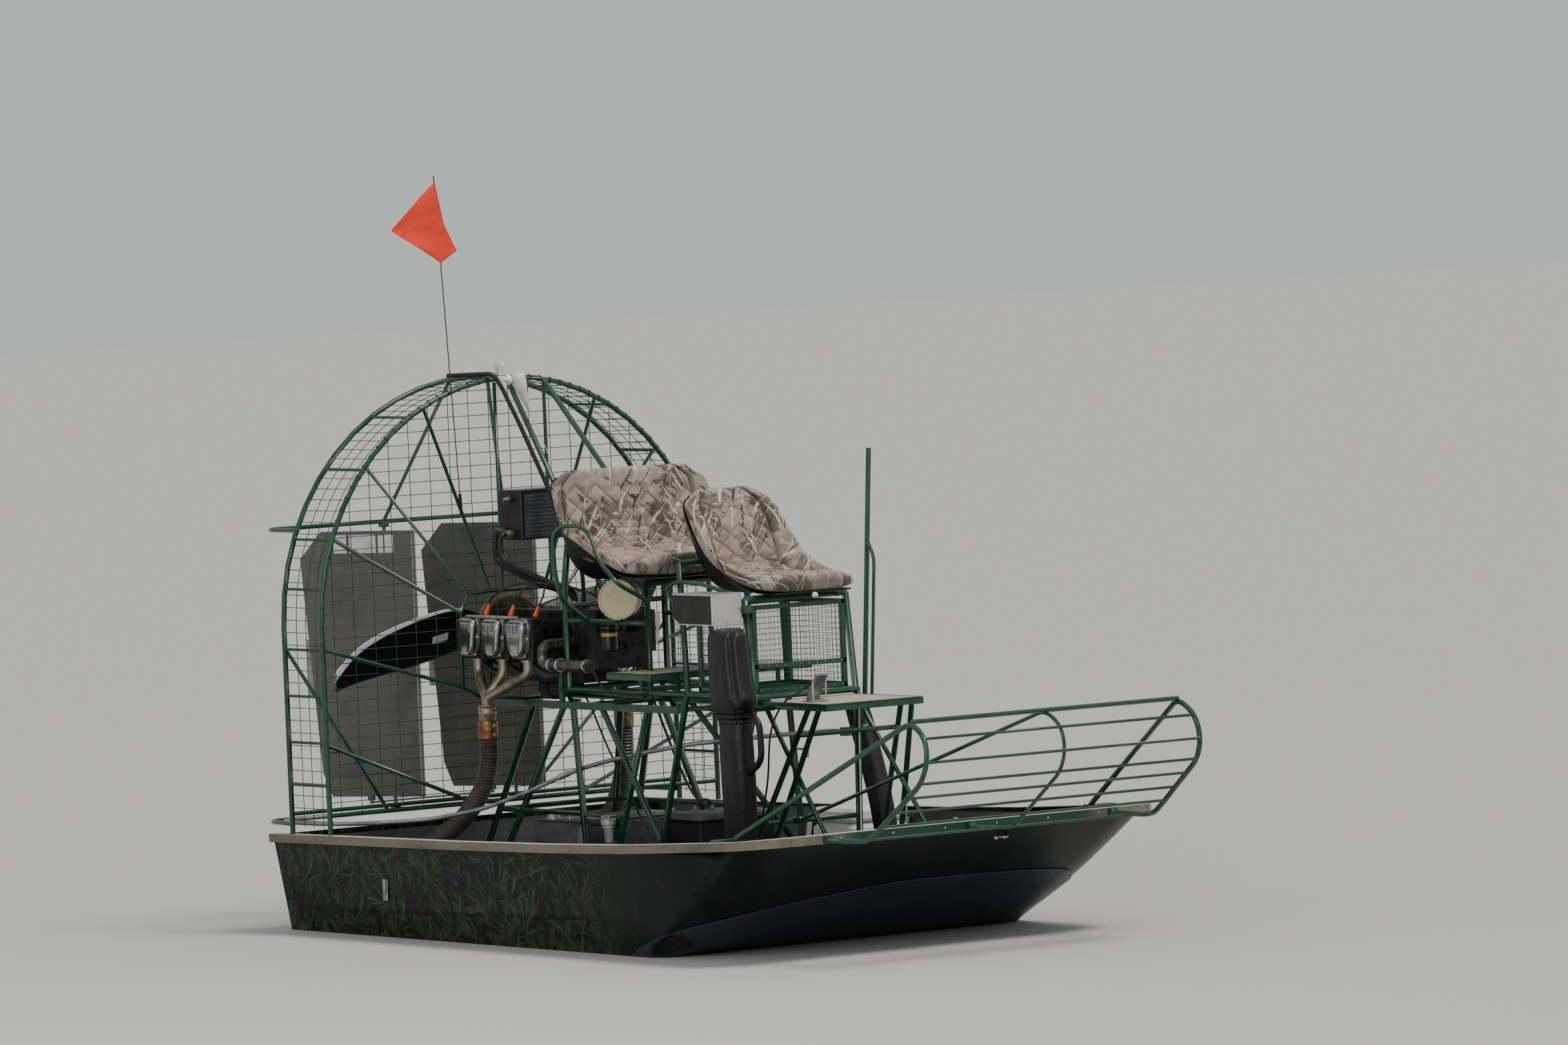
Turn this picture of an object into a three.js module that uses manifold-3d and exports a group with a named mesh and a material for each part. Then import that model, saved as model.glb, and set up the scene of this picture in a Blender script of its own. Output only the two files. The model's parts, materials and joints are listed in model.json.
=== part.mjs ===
// Airboat: an open flat-bottomed aluminium boat driven by an aircraft engine and a caged air propeller.
// Millimetres. X points to the bow, Y to port, Z up. Z = 0 is the underside of the flat bottom.
import * as THREE from 'three';
import { mergeVertices } from 'three/addons/utils/BufferGeometryUtils.js';
import { ConvexGeometry } from 'three/addons/geometries/ConvexGeometry.js';
import Module from 'manifold-3d';

const wasm = await Module();
wasm.setup();

// Driving dimensions of the hull. Stations along X are measured from the transom until the group is placed.
const HULL_LENGTH = 3960;
const HALF_BOTTOM = 1036;
const SIDE_HEIGHT = 457;
const FLARE = 0.186;
const SHEET = 6;
const BOTTOM_SHEET = 8;
const BOW_JOIN_X = 2900;
const BOW_CORNER = 250;
const CORNER_STEPS = 5;
const RAIL_WIDTH = 24;
const RAIL_HEIGHT = 34;
const FLOOR_TOP = 50;
const FIT = 0.3;
const SLIVER = 0.1;

// Propeller, cage and rudders
const PROP_X = 330;
const PROP_Z = 1365;
const BLADE_ANGLE = 191;
const HOOP_FRONT_X = 490;
const HOOP_REAR_X = 170;
const HOOP_RADIUS = 1120;
const HOOP_Z = 1440;
const HOOP_TUBE = 12.7;
const HOOP_FLAT = 11.73;
const SPOKE_TUBE = 9.5;
const RUDDER_X = -100;
const RUDDER_Y = 350;
const RUDDER_ANGLE = 27;
const RUDDER_TOP = 1845;
const RUDDER_BOTTOM = 575;
const RUDDER_SHEET = 12;
const RUDDER_RAIL_Z = 1890;
const GUARD_Z = 512;
const TIE_ROD_Z = 548;
const HORN_REACH = 130;

// Engine
const CYLINDER_X = [610, 815, 1020];
const HEAD_Y = 290;
const COVER_Y = 352;

// Bucket seats, from the front lip to the top of the back: [x, z, half width, padding, underside and crest of the rim]
const SHELL = 10;
const SEATS = {
  rear: [
    [2100, 1665, 405, 98, 2, 84], [1950, 1652, 432, 102, 20, 104], [1790, 1642, 440, 94, 95, 165], [1600, 1646, 444, 84, 172, 240],
    [1440, 1692, 446, 104, 186, 256], [1356, 1808, 446, 118, 166, 236], [1334, 1950, 444, 106, 120, 188],
    [1338, 2080, 432, 84, 70, 136], [1352, 2150, 376, 66, 40, 92],
  ],
  front: [
    [2870, 1590, 225, 80, 0, 68], [2720, 1590, 246, 86, 12, 90], [2520, 1594, 252, 78, 78, 142], [2330, 1630, 252, 92, 134, 206],
    [2238, 1735, 252, 122, 114, 192], [2178, 1855, 250, 132, 86, 164], [2142, 1965, 240, 104, 60, 122], [2134, 2050, 192, 70, 30, 82],
  ],
};

// Stands, steps and controls
const BED_Z = 1040;
const BED_Y = 250;
const FRAME_TUBE = 16;
const FOOT_Y = 420;
const BEAM_Z = 1118;
const BEAM_Y = 285;
const STEP = { x0: 1850, x1: 2200, half: 460, z: 1215, sheet: 8 };
const PLATFORM = { x0: 2790, x1: 3300, half: 275, z: 1100, sheet: 8 };
const STICK = { x: 2690, y: 385, z: 930, lean: 5.3, top: 2225, tube: 12 };

// Gun boots hang outside the stands, the round canister under the passengers' seat
const BOOT_Y = 443;
const CANISTER = { x: 1733, y: -280, z: 1549, radius: 90, length: 141 };

// Grass rake over the bow: its hoops lean inwards as they rise from foot to top
const RAKE = { halfTop: 746, halfFoot: 800, top: 1090, foot: 553, tube: 12.7, middle: 9, rod: 6.4 };

// Bars of the rake from its top to its foot: [x, z]
const RAKE_BARS = [[4569, 1090], [4678, 1019], [4700, 915], [4658, 820], [4567, 754], [4472, 687], [4386, 623], [4296, 563]];

// Stays of the cage: [y, z at the hoop, x and z at the lug, drop of the seat stand's lug]
const STAYS = [[-10, 2556, 1250, 1510, 24], [200, 2540, 1280, 1843, 42]];

// Middle of the overall length, from the rudders' trailing edges to the rake's nose
const CENTRE_X = 2095.6;

const DEG = Math.PI / 180;
const V = (x, y, z) => new THREE.Vector3(x, y, z);

// Height of the gunwale above the flat bottom at station x
function sheer(x) {
  const metres = x / 1000;
  return SIDE_HEIGHT + 12 * metres + 65.5 * (x / HULL_LENGTH) ** 4;
}

// Half breadth of the outer skin at height z
function halfBreadth(z) {
  return HALF_BOTTOM + FLARE * z;
}

// Reach of the raked bow at height z: nearly straight, easing up to the front edge
function bowReach(z) {
  const t = z / sheer(HULL_LENGTH);
  return BOW_JOIN_X + 90 + (HULL_LENGTH - BOW_JOIN_X - 90) * t ** 0.74;
}

// Materials, one for each mesh
const FINISH = {
  wrap: { color: 0x2e3325, roughness: 0.55, metalness: 0.0 },
  green: { color: 0x0f4a35, roughness: 0.35, metalness: 0.1 },
  hullGreen: { color: 0x10261f, roughness: 0.3, metalness: 0.1 },
  aluminium: { color: 0x9a9c98, roughness: 0.45, metalness: 0.9 },
  rail: { color: 0xb9b29c, roughness: 0.5, metalness: 0.3 },
  grey: { color: 0x55564f, roughness: 0.55, metalness: 0.1 },
  black: { color: 0x131415, roughness: 0.5, metalness: 0.0 },
  cast: { color: 0x3a3b3a, roughness: 0.5, metalness: 0.7 },
  chrome: { color: 0xc9c9c6, roughness: 0.2, metalness: 1.0 },
  steel: { color: 0x8d8478, roughness: 0.4, metalness: 0.9 },
  hose: { color: 0x4b3a34, roughness: 0.8, metalness: 0.0 },
  cloth: { color: 0x8b7f6b, roughness: 0.9, metalness: 0.0 },
  orange: { color: 0xff4527, roughness: 0.8, metalness: 0.0 },
  white: { color: 0xe6e6e0, roughness: 0.4, metalness: 0.0 },
  cream: { color: 0xcbbf98, roughness: 0.5, metalness: 0.0 },
  plate: { color: 0xb5b3ab, roughness: 0.35, metalness: 0.9 },
};

// Solids as manifolds, so that they can be joined and cut
function solid(geometry) {
  const plain = geometry.index ? geometry.toNonIndexed() : geometry.clone();
  plain.deleteAttribute('normal');
  plain.deleteAttribute('uv');
  const merged = mergeVertices(plain, 1e-3);
  const mesh = new wasm.Mesh({
    numProp: 3,
    vertProperties: new Float32Array(merged.attributes.position.array),
    triVerts: new Uint32Array(merged.index.array),
  });
  return new wasm.Manifold(mesh);
}

function geometryOf(manifold) {
  const mesh = manifold.simplify(SLIVER).getMesh();
  const geometry = new THREE.BufferGeometry();
  geometry.setAttribute('position', new THREE.BufferAttribute(mesh.vertProperties, 3));
  geometry.setIndex(new THREE.BufferAttribute(mesh.triVerts, 1));
  return geometry.toNonIndexed();
}

function join(parts) {
  let whole = solid(parts[0]);
  for (const part of parts.slice(1)) whole = whole.add(solid(part));
  return geometryOf(whole);
}

function cut(body, tools) {
  let whole = solid(body);
  for (const tool of tools) whole = whole.subtract(solid(tool));
  return geometryOf(whole);
}

// Box from its lowest to its highest corner
function box(x0, y0, z0, x1, y1, z1) {
  const geometry = new THREE.BoxGeometry(x1 - x0, y1 - y0, z1 - z0);
  return geometry.translate((x0 + x1) / 2, (y0 + y1) / 2, (z0 + z1) / 2);
}

// Straight round bar between two points
function bar(from, to, radius, sides = 8) {
  const length = from.distanceTo(to);
  const geometry = new THREE.CylinderGeometry(radius, radius, length, sides);
  const turn = new THREE.Quaternion().setFromUnitVectors(V(0, 1, 0), to.clone().sub(from).normalize());
  geometry.applyQuaternion(turn);
  const middle = from.clone().add(to).multiplyScalar(0.5);
  return geometry.translate(middle.x, middle.y, middle.z);
}

// A path through given stations; its section keeps upright against the given up direction
class Route extends THREE.Curve {
  constructor(stations, up) {
    super();
    this.stations = stations;
    this.up = up;
  }

  getPoint(t) {
    const last = this.stations.length - 1;
    const place = Math.min(Math.max(t, 0), 1) * last;
    const index = Math.min(Math.floor(place), last - 1);
    return this.stations[index].clone().lerp(this.stations[index + 1], place - index);
  }

  getUtoTmapping(u) {
    return u;
  }

  computeFrenetFrames(segments, closed) {
    if (!this.up) return super.computeFrenetFrames(segments, closed);
    const frames = { tangents: [], normals: [], binormals: [] };
    for (let i = 0; i <= segments; i++) {
      const tangent = this.getTangentAt(i / segments);
      const normal = new THREE.Vector3().crossVectors(this.up, tangent).normalize();
      frames.tangents.push(tangent);
      frames.normals.push(normal);
      frames.binormals.push(new THREE.Vector3().crossVectors(tangent, normal));
    }
    return frames;
  }
}

// Stations of a bent tube: straight runs, with each inner corner rounded over the given distance
function rounded(points, reach, steps = 4) {
  const stations = [points[0]];
  for (let i = 1; i < points.length - 1; i++) {
    const before = points[i - 1].clone().sub(points[i]);
    const after = points[i + 1].clone().sub(points[i]);
    const cutBack = Math.min(reach, before.length() * 0.48, after.length() * 0.48);
    const start = points[i].clone().addScaledVector(before.normalize(), cutBack);
    const end = points[i].clone().addScaledVector(after.normalize(), cutBack);
    const bend = new THREE.QuadraticBezierCurve3(start, points[i], end);
    stations.push(...bend.getPoints(steps));
  }
  stations.push(points[points.length - 1]);
  return stations;
}

function ring(radius, sides) {
  const shape = new THREE.Shape();
  for (let i = 0; i < sides; i++) {
    const angle = (i + 0.5) * 2 * Math.PI / sides;
    const point = [radius * Math.cos(angle), radius * Math.sin(angle)];
    if (i === 0) shape.moveTo(...point);
    else shape.lineTo(...point);
  }
  return shape;
}

function sweep(stations, shape, up = null) {
  const path = new Route(stations, up);
  return new THREE.ExtrudeGeometry(shape, { steps: stations.length - 1, extrudePath: path });
}

function tube(points, radius, reach = 60, sides = 8, steps = 4) {
  return sweep(rounded(points, reach, steps), ring(radius, sides));
}

// Closed solid through rings of points that all have the same number of points
function loft(rings) {
  const triangles = [];
  const count = rings[0].length;
  for (let i = 0; i + 1 < rings.length; i++) {
    for (let k = 0; k < count; k++) {
      const [a, b] = [rings[i][k], rings[i][(k + 1) % count]];
      const [c, d] = [rings[i + 1][(k + 1) % count], rings[i + 1][k]];
      triangles.push(a, b, c, a, c, d);
    }
  }
  const last = rings[rings.length - 1];
  for (let k = 1; k + 1 < count; k++) triangles.push(rings[0][0], rings[0][k + 1], rings[0][k], last[0], last[k], last[k + 1]);
  return new THREE.BufferGeometry().setFromPoints(triangles);
}

// Flat plate: an outline in two coordinates, given a thickness along the third
function plate(points, thickness) {
  const shape = new THREE.Shape(points.map((p) => new THREE.Vector2(...p)));
  return new THREE.ExtrudeGeometry(shape, { depth: thickness, bevelEnabled: false });
}

// Outline in X and Z, thickness along +Y from y
function plateXZ(points, y, thickness) {
  return plate(points, thickness).rotateX(Math.PI / 2).translate(0, y + thickness, 0);
}

// Outline in Y and Z, thickness along +X from x
function plateYZ(points, x, thickness) {
  const geometry = plate(points, thickness);
  geometry.rotateY(Math.PI / 2).rotateX(Math.PI / 2);
  return geometry.translate(x, 0, 0);
}

const group = new THREE.Group();

function add(name, geometry, finish) {
  const mesh = new THREE.Mesh(geometry, new THREE.MeshStandardMaterial(FINISH[finish]));
  mesh.name = name;
  mesh.position.x = -CENTRE_X;
  group.add(mesh);
  return mesh;
}

// The same geometry on the other side of the boat
function mirrored(geometry) {
  const copy = geometry.index ? geometry.toNonIndexed() : geometry.clone();
  copy.deleteAttribute('uv');
  copy.deleteAttribute('normal');
  const p = copy.attributes.position;
  for (let i = 0; i < p.count; i += 3) {
    const [x, y, z] = [p.getX(i + 1), p.getY(i + 1), p.getZ(i + 1)];
    p.setXYZ(i, p.getX(i), -p.getY(i), p.getZ(i));
    p.setXYZ(i + 1, p.getX(i + 2), -p.getY(i + 2), p.getZ(i + 2));
    p.setXYZ(i + 2, x, -y, z);
  }
  return copy;
}

// Hull: flat bottom, two flat flared sides, transom and the raked bow shell
function buildHull() {
  const skin = SHEET / Math.cos(Math.atan(FLARE));
  const edge = HALF_BOTTOM - skin - FIT;
  add('hull_bottom', box(SHEET + FIT, -edge, 0, BOW_JOIN_X - FIT, edge, BOTTOM_SHEET), 'hullGreen');

  const stations = [0, 800, 1600, 2300, BOW_JOIN_X - FIT];
  const slant = 1 / Math.cos(Math.atan(FLARE));
  const outline = [[0, 0], [BOW_JOIN_X - FIT, 0]];
  for (const x of stations.slice().reverse()) outline.push([x, sheer(x) * slant]);
  const side = plateXZ(outline, -SHEET, SHEET);
  side.rotateX(-Math.atan(FLARE)).translate(0, HALF_BOTTOM, 0);
  add('hull_side_port', side, 'wrap');
  add('hull_side_starboard', mirrored(side), 'wrap');

  const topEdge = edge + FLARE * SIDE_HEIGHT;
  const transom = [[-edge, 0], [edge, 0], [topEdge, SIDE_HEIGHT], [-topEdge, SIDE_HEIGHT]];
  add('hull_transom', plateYZ(transom, 0, SHEET), 'wrap');

  add('hull_bow', cut(bowBlock(0, BOW_JOIN_X, 0), [bowBlock(SHEET, BOW_JOIN_X - 200, 60)]), 'hullGreen');
}

// Solid of the bow forward of x0, shrunk inwards by inset and standing over the sheer by extra
function bowBlock(inset, x0, extra) {
  const points = [];
  const levels = [0, 40, 100, 180, 280, 390, 500, 570];
  const floor = inset > 0 ? BOTTOM_SHEET : 0;
  for (const level of levels) {
    const z = Math.max(level, floor);
    const nose = bowReach(level) - inset * 1.4;
    const half = halfBreadth(z) - inset * 1.02;
    const corner = Math.min(BOW_CORNER, nose - BOW_JOIN_X);
    for (let i = 0; i <= CORNER_STEPS; i++) {
      const angle = i * 90 / CORNER_STEPS * DEG;
      const x = nose - corner + corner * Math.sin(angle);
      const y = half - corner + corner * Math.cos(angle);
      const height = Math.min(z, sheer(x));
      const lift = level >= 500 ? extra : 0;
      points.push(V(x, y, height + lift), V(x, -y, height + lift));
    }
    const sideZ = Math.min(z, sheer(BOW_JOIN_X));
    const sideY = halfBreadth(sideZ) - inset * 1.02;
    points.push(V(x0, sideY, sideZ + (level >= 500 ? extra : 0)));
    points.push(V(x0, -sideY, sideZ + (level >= 500 ? extra : 0)));
  }
  return new ConvexGeometry(points);
}

// Plan of the gunwale's outer skin from the stern forward, on the port side, with its height
function gunwalePath() {
  const stations = [];
  for (const x of [0, 800, 1600, 2300, BOW_JOIN_X]) stations.push(V(x, halfBreadth(sheer(x)), sheer(x)));
  const half = halfBreadth(sheer(HULL_LENGTH));
  const centreX = HULL_LENGTH - BOW_CORNER;
  for (let i = 0; i <= CORNER_STEPS; i++) {
    const angle = i * 90 / CORNER_STEPS * DEG;
    const x = centreX + BOW_CORNER * Math.sin(angle);
    const y = half - BOW_CORNER + BOW_CORNER * Math.cos(angle);
    stations.push(V(x, y, sheer(x)));
  }
  return stations;
}

function buildRails() {
  const port = gunwalePath();
  const starboard = port.slice().reverse().map((p) => V(p.x, -p.y, p.z));
  const path = port.concat(starboard);
  const section = new THREE.Shape([
    new THREE.Vector2(FIT + 0.6, -RAIL_HEIGHT),
    new THREE.Vector2(RAIL_WIDTH, -RAIL_HEIGHT),
    new THREE.Vector2(RAIL_WIDTH, 6),
    new THREE.Vector2(-30, 6),
    new THREE.Vector2(-30, 2),
    new THREE.Vector2(FIT + 0.6, 2),
  ]);
  add('gunwale_rail', sweep(path, section, V(0, 0, 1)), 'rail');
}


// Longitudinal bearers and cross bearers welded to the bottom sheet
function buildFloor() {
  const outer = FOOT_Y + 20;
  const inner = FOOT_Y - 20;
  const foot = BOTTOM_SHEET + FIT;
  const bays = [];
  for (let x = 480; x < 2800; x += 475) bays.push(box(x, -inner, 0, x + 435, inner, FLOOR_TOP + 10));
  const bearers = cut(box(440, -outer, foot, 2855, outer, FLOOR_TOP), bays);
  add('floor_bearers', bearers, 'aluminium');
  add('fuel_tank', box(1010, -325, FLOOR_TOP + FIT, 1390, 325, 515), 'aluminium');
  add('battery_box', box(1900, -215, FLOOR_TOP + FIT, 2200, 215, 640), 'black');
  add('bow_locker', box(2150, 450, foot, 2450, 800, 540), 'white');
}

// Aircraft engine: crankcase, six finned barrels with their heads, accessory case and sump
function buildEngine() {
  const z = PROP_Z;
  const parts = [
    box(470, -120, z - 115, 1200, 120, z + 105),
    box(1190, -145, z - 165, 1330, 145, z + 115),
    box(620, -95, z - 235, 1150, 95, z - 105),
    bar(V(395, 0, z), V(480, 0, z), 52, 12),
  ];
  for (const side of [-1, 1]) {
    for (const x of CYLINDER_X) {
      const profile = [new THREE.Vector2(0, 100)];
      for (let fin = 0; fin < 5; fin++) {
        const y = 130 + fin * 34;
        profile.push(new THREE.Vector2(62, y), new THREE.Vector2(80, y + 4), new THREE.Vector2(80, y + 16));
        profile.push(new THREE.Vector2(62, y + 20));
      }
      profile.push(new THREE.Vector2(0, 300));
      const barrel = new THREE.LatheGeometry(profile, 10);
      if (side < 0) barrel.rotateX(Math.PI);
      parts.push(barrel.translate(x, 0, z - 12));
      const y0 = side < 0 ? -COVER_Y + FIT : HEAD_Y;
      parts.push(box(x - 90, y0, z - 112, x + 90, y0 + COVER_Y - HEAD_Y - FIT, z + 82));
    }
  }
  add('engine', join(parts), 'cast');

  const covers = [];
  for (const x of CYLINDER_X) {
    const outline = [[x - 86, z + 84], [x + 86, z + 84], [x + 90, z + 30], [x + 50, z - 105], [x - 50, z - 105], [x - 90, z + 30]];
    covers.push(plateXZ(outline, COVER_Y, 52));
  }
  covers.push(bar(V(CYLINDER_X[0], COVER_Y + 20, z + 86), V(CYLINDER_X[2], COVER_Y + 20, z + 86), 9, 8));
  const port = join(covers);
  add('valve_covers_port', port, 'chrome');
  add('valve_covers_starboard', mirrored(port), 'chrome');

  const top = z - 112 - FIT;
  const pipes = [];
  for (const x of CYLINDER_X) {
    pipes.push(tube([V(x, 322, top), V(x, 322, top - 70), V(765, 391, 1070), V(765, 391, 1000)], 21, 60));
  }
  pipes.push(bar(V(765, 391, 1040), V(765, 391, 962), 38, 12));
  const header = join(pipes);
  add('exhaust_header_port', header, 'steel');
  add('exhaust_header_starboard', mirrored(header), 'steel');

  const route = [V(765, 391, 962 - FIT), V(765, 391, 700), V(610, 432, 500), V(350, 510, 350), V(150, 560, 320), V(SHEET + FIT, 560, 320)];
  const hose = tube(route, 45, 120, 10, 4);
  add('exhaust_hose_port', hose, 'hose');
  add('exhaust_hose_starboard', mirrored(hose), 'hose');

  const intake = [V(1160, -120 - FIT, 1325), V(1160, -335, 1325), V(1160, -335, 1235), V(1540, -335, 1235)];
  add('intake_pipe', tube(intake, 27, 50), 'aluminium');
}

// Blade sections: radius, leading and trailing edge as seen from behind, pitch in degrees, thickness
const BLADE = [
  [50, 48, -48, 40, 40], [150, 112, -48, 36, 34], [254, 165, -44, 33, 28], [353, 186, -46, 30, 24], [500, 187, -42, 27, 20],
  [660, 172, -36, 24, 16], [780, 145, -33, 21, 13], [862, 110, -32, 19, 11], [925, 66, -32, 17, 9], [972, 16, -32, 16, 8],
];

// One blade as a loft of six-sided lens sections, its leading edge ahead of its trailing edge
function blade(turn) {
  const rings = BLADE.map(([r, lead, trail, pitch, thick]) => {
    const slope = Math.tan(pitch * DEG);
    const chord = lead - trail;
    const section = [[lead, 0], [lead - 0.25 * chord, 1], [trail + 0.25 * chord, 0.8], [trail, 0], [trail + 0.25 * chord, -0.3], [lead - 0.25 * chord, -0.5]];
    return section.map(([c, side]) => {
      const x = PROP_X + c * slope + side * thick * 0.6;
      return V(x, r * Math.cos(turn) + c * Math.sin(turn), PROP_Z + r * Math.sin(turn) - c * Math.cos(turn));
    });
  });
  return loft(rings.map((ring) => ring.reverse()));
}

function buildPropeller() {
  const first = BLADE_ANGLE * DEG;
  const hub = bar(V(270, 0, PROP_Z), V(395 - FIT, 0, PROP_Z), 72, 14);
  add('propeller', join([hub, blade(first), blade(first + Math.PI)]), 'black');
}

// Stations of a hoop with straight legs, in the plane at x
function hoop(x, foot) {
  const points = [V(x, HOOP_RADIUS, foot)];
  for (let i = 0; i <= 24; i++) {
    const angle = i * 7.5 * DEG;
    points.push(V(x, HOOP_RADIUS * Math.cos(angle), HOOP_Z + HOOP_RADIUS * Math.sin(angle)));
  }
  points.push(V(x, -HOOP_RADIUS, foot));
  return points;
}

// Point on a hoop at height z on the port side
function onHoop(x, z, side = 1) {
  const rise = Math.max(0, z - HOOP_Z);
  return V(x, side * Math.sqrt(HOOP_RADIUS ** 2 - rise ** 2), z);
}

function buildCage() {
  const front = HOOP_FRONT_X;
  const rear = HOOP_REAR_X;
  const spokes = [
    // y and z at the hoop, y and z at the hub ring
    [494, 2439, 155, 1557], [822, 2168, 281, 1549], [1030, 1850, 331, 1461], [1105, 1337, 333, 1110], [1110, 890, 300, 560],
  ];
  const parts = [sweep(hoop(front, sheer(front) + 6 + FIT), ring(HOOP_TUBE, 8))];
  for (const [y0, z0, y1, z1] of spokes) {
    parts.push(bar(V(front, y0, z0), V(front, y1, z1), SPOKE_TUBE, 6), bar(V(front, -y0, z0), V(front, -y1, z1), SPOKE_TUBE, 6));
  }
  const hub = [[155, 1557], [281, 1549], [331, 1461], [333, 1110], [200, 1040]];
  const rim = hub.concat(hub.slice().reverse().map(([y, z]) => [-y, z]));
  rim.forEach(([y, z], i) => {
    const [yn, zn] = rim[(i + 1) % rim.length];
    parts.push(bar(V(front, y, z), V(front, yn, zn), SPOKE_TUBE, 6));
  });
  parts.push(bar(V(front, -HOOP_RADIUS, 560), V(front, HOOP_RADIUS, 560), SPOKE_TUBE, 6));
  for (const y of [-84, 200]) parts.push(bar(V(front, y, 1557), V(front, y, 2540), SPOKE_TUBE, 6));
  // Two stays run forward and down from the top of the hoop to lugs on the seat stand
  for (const [y, top, x, z] of STAYS) {
    parts.push(bar(V(front, y, top), V(x, y, z), 13, 6), box(x - 24, y - 13, z - 24, x + 24, y + 5, z + 24));
  }
  add('cage_front', join(parts), 'green');

  const back = [sweep(hoop(rear, sheer(rear) + 6 + FIT), ring(HOOP_TUBE, 8))];
  for (const z of [700, 900, 1118, 1337, 1620, 1850, 2168, 2400]) {
    for (const side of [-1, 1]) {
      const start = onHoop(rear, z, side);
      back.push(bar(start, V(front - HOOP_TUBE - FIT, start.y, z), 6.5, 6));
    }
  }
  back.push(bar(V(rear, -HOOP_RADIUS, 560), V(rear, HOOP_RADIUS, 560), SPOKE_TUBE, 6));
  add('cage_rear', join(back), 'green');
}

// Rails behind the cage that carry the rudders at top and bottom, and the stays that hold them
function buildRudders() {
  const bearing = 18;
  const topRail = [V(HOOP_REAR_X - HOOP_FLAT - FIT, 1022, RUDDER_RAIL_Z), V(RUDDER_X, 1022, RUDDER_RAIL_Z)];
  topRail.push(V(RUDDER_X, -1022, RUDDER_RAIL_Z), V(HOOP_REAR_X - HOOP_FLAT - FIT, -1022, RUDDER_RAIL_Z));
  const rail = [tube(topRail, 11, 70)];
  for (const side of [-1, 1]) {
    const y = side * RUDDER_Y;
    rail.push(box(RUDDER_X - bearing, y - bearing, RUDDER_TOP + 18, RUDDER_X + bearing, y + bearing, RUDDER_RAIL_Z));
    rail.push(bar(V(RUDDER_X, y, RUDDER_RAIL_Z), V(HOOP_REAR_X - HOOP_TUBE - 5, side * 110, 2545), 9, 6));
  }
  add('rudder_rail', join(rail), 'green');

  const guardPath = [V(HOOP_REAR_X - HOOP_FLAT - FIT, 1108, GUARD_Z), V(RUDDER_X, 1085, GUARD_Z)];
  guardPath.push(V(RUDDER_X, -1085, GUARD_Z), V(HOOP_REAR_X - HOOP_FLAT - FIT, -1108, GUARD_Z));
  const guard = [tube(guardPath, 11, 90)];
  for (const side of [-1, 1]) {
    const y = side * RUDDER_Y;
    guard.push(box(RUDDER_X - bearing, y - bearing, GUARD_Z, RUDDER_X + bearing, y + bearing, GUARD_Z + 21));
    guard.push(bar(V(RUDDER_X, y + side * 45, GUARD_Z), V(HOOP_REAR_X - HOOP_TUBE - 5, side * 1105, 1337), 9, 6));
  }
  add('stern_guard', join(guard), 'green');

  const outline = [
    [160, RUDDER_BOTTOM], [160, RUDDER_TOP], [-345, RUDDER_TOP], [-462, 1715], [-385, 690], [-338, RUDDER_BOTTOM],
  ];
  for (const [name, side] of [['rudder_starboard', -1], ['rudder_port', 1]]) {
    const pinTop = RUDDER_TOP + 18 - FIT;
    const pinFoot = GUARD_Z + 21 + FIT;
    const parts = [
      plateXZ(outline, -RUDDER_SHEET / 2, RUDDER_SHEET),
      bar(V(0, 0, pinFoot), V(0, 0, pinTop), 9, 8),
      box(-HORN_REACH - 14, -14, TIE_ROD_Z + 9, -HORN_REACH + 14, 14, RUDDER_BOTTOM + 8),
      bar(V(-HORN_REACH, 0, TIE_ROD_Z - 8), V(-HORN_REACH, 0, TIE_ROD_Z + 12), 4, 8),
    ];
    const rudder = join(parts);
    rudder.rotateZ(RUDDER_ANGLE * DEG).translate(RUDDER_X, side * RUDDER_Y, 0);
    add(name, rudder, 'grey');
  }

  const eyeX = RUDDER_X - HORN_REACH * Math.cos(RUDDER_ANGLE * DEG);
  const eyeY = -HORN_REACH * Math.sin(RUDDER_ANGLE * DEG);
  const ends = [V(eyeX, eyeY - RUDDER_Y, TIE_ROD_Z), V(eyeX, eyeY + RUDDER_Y, TIE_ROD_Z)];
  const rod = [bar(ends[0], ends[1], 5, 6)];
  for (const end of ends) rod.push(bar(V(end.x, end.y, end.z - 6), V(end.x, end.y, end.z + 6), 12, 10));
  const holes = ends.map((end) => bar(V(end.x, end.y, end.z - 20), V(end.x, end.y, end.z + 20), 4.9, 8));
  add('tie_rod', cut(join(rod), holes), 'aluminium');
}

// Unit vector along a seat's profile at a station, from the lip towards the top of the back
function alongSeat(profile, index) {
  const [xa, za] = profile[Math.max(index - 1, 0)];
  const [xb, zb] = profile[Math.min(index + 1, profile.length - 1)];
  const length = Math.hypot(xb - xa, zb - za);
  return [(xb - xa) / length, (zb - za) / length];
}

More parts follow.
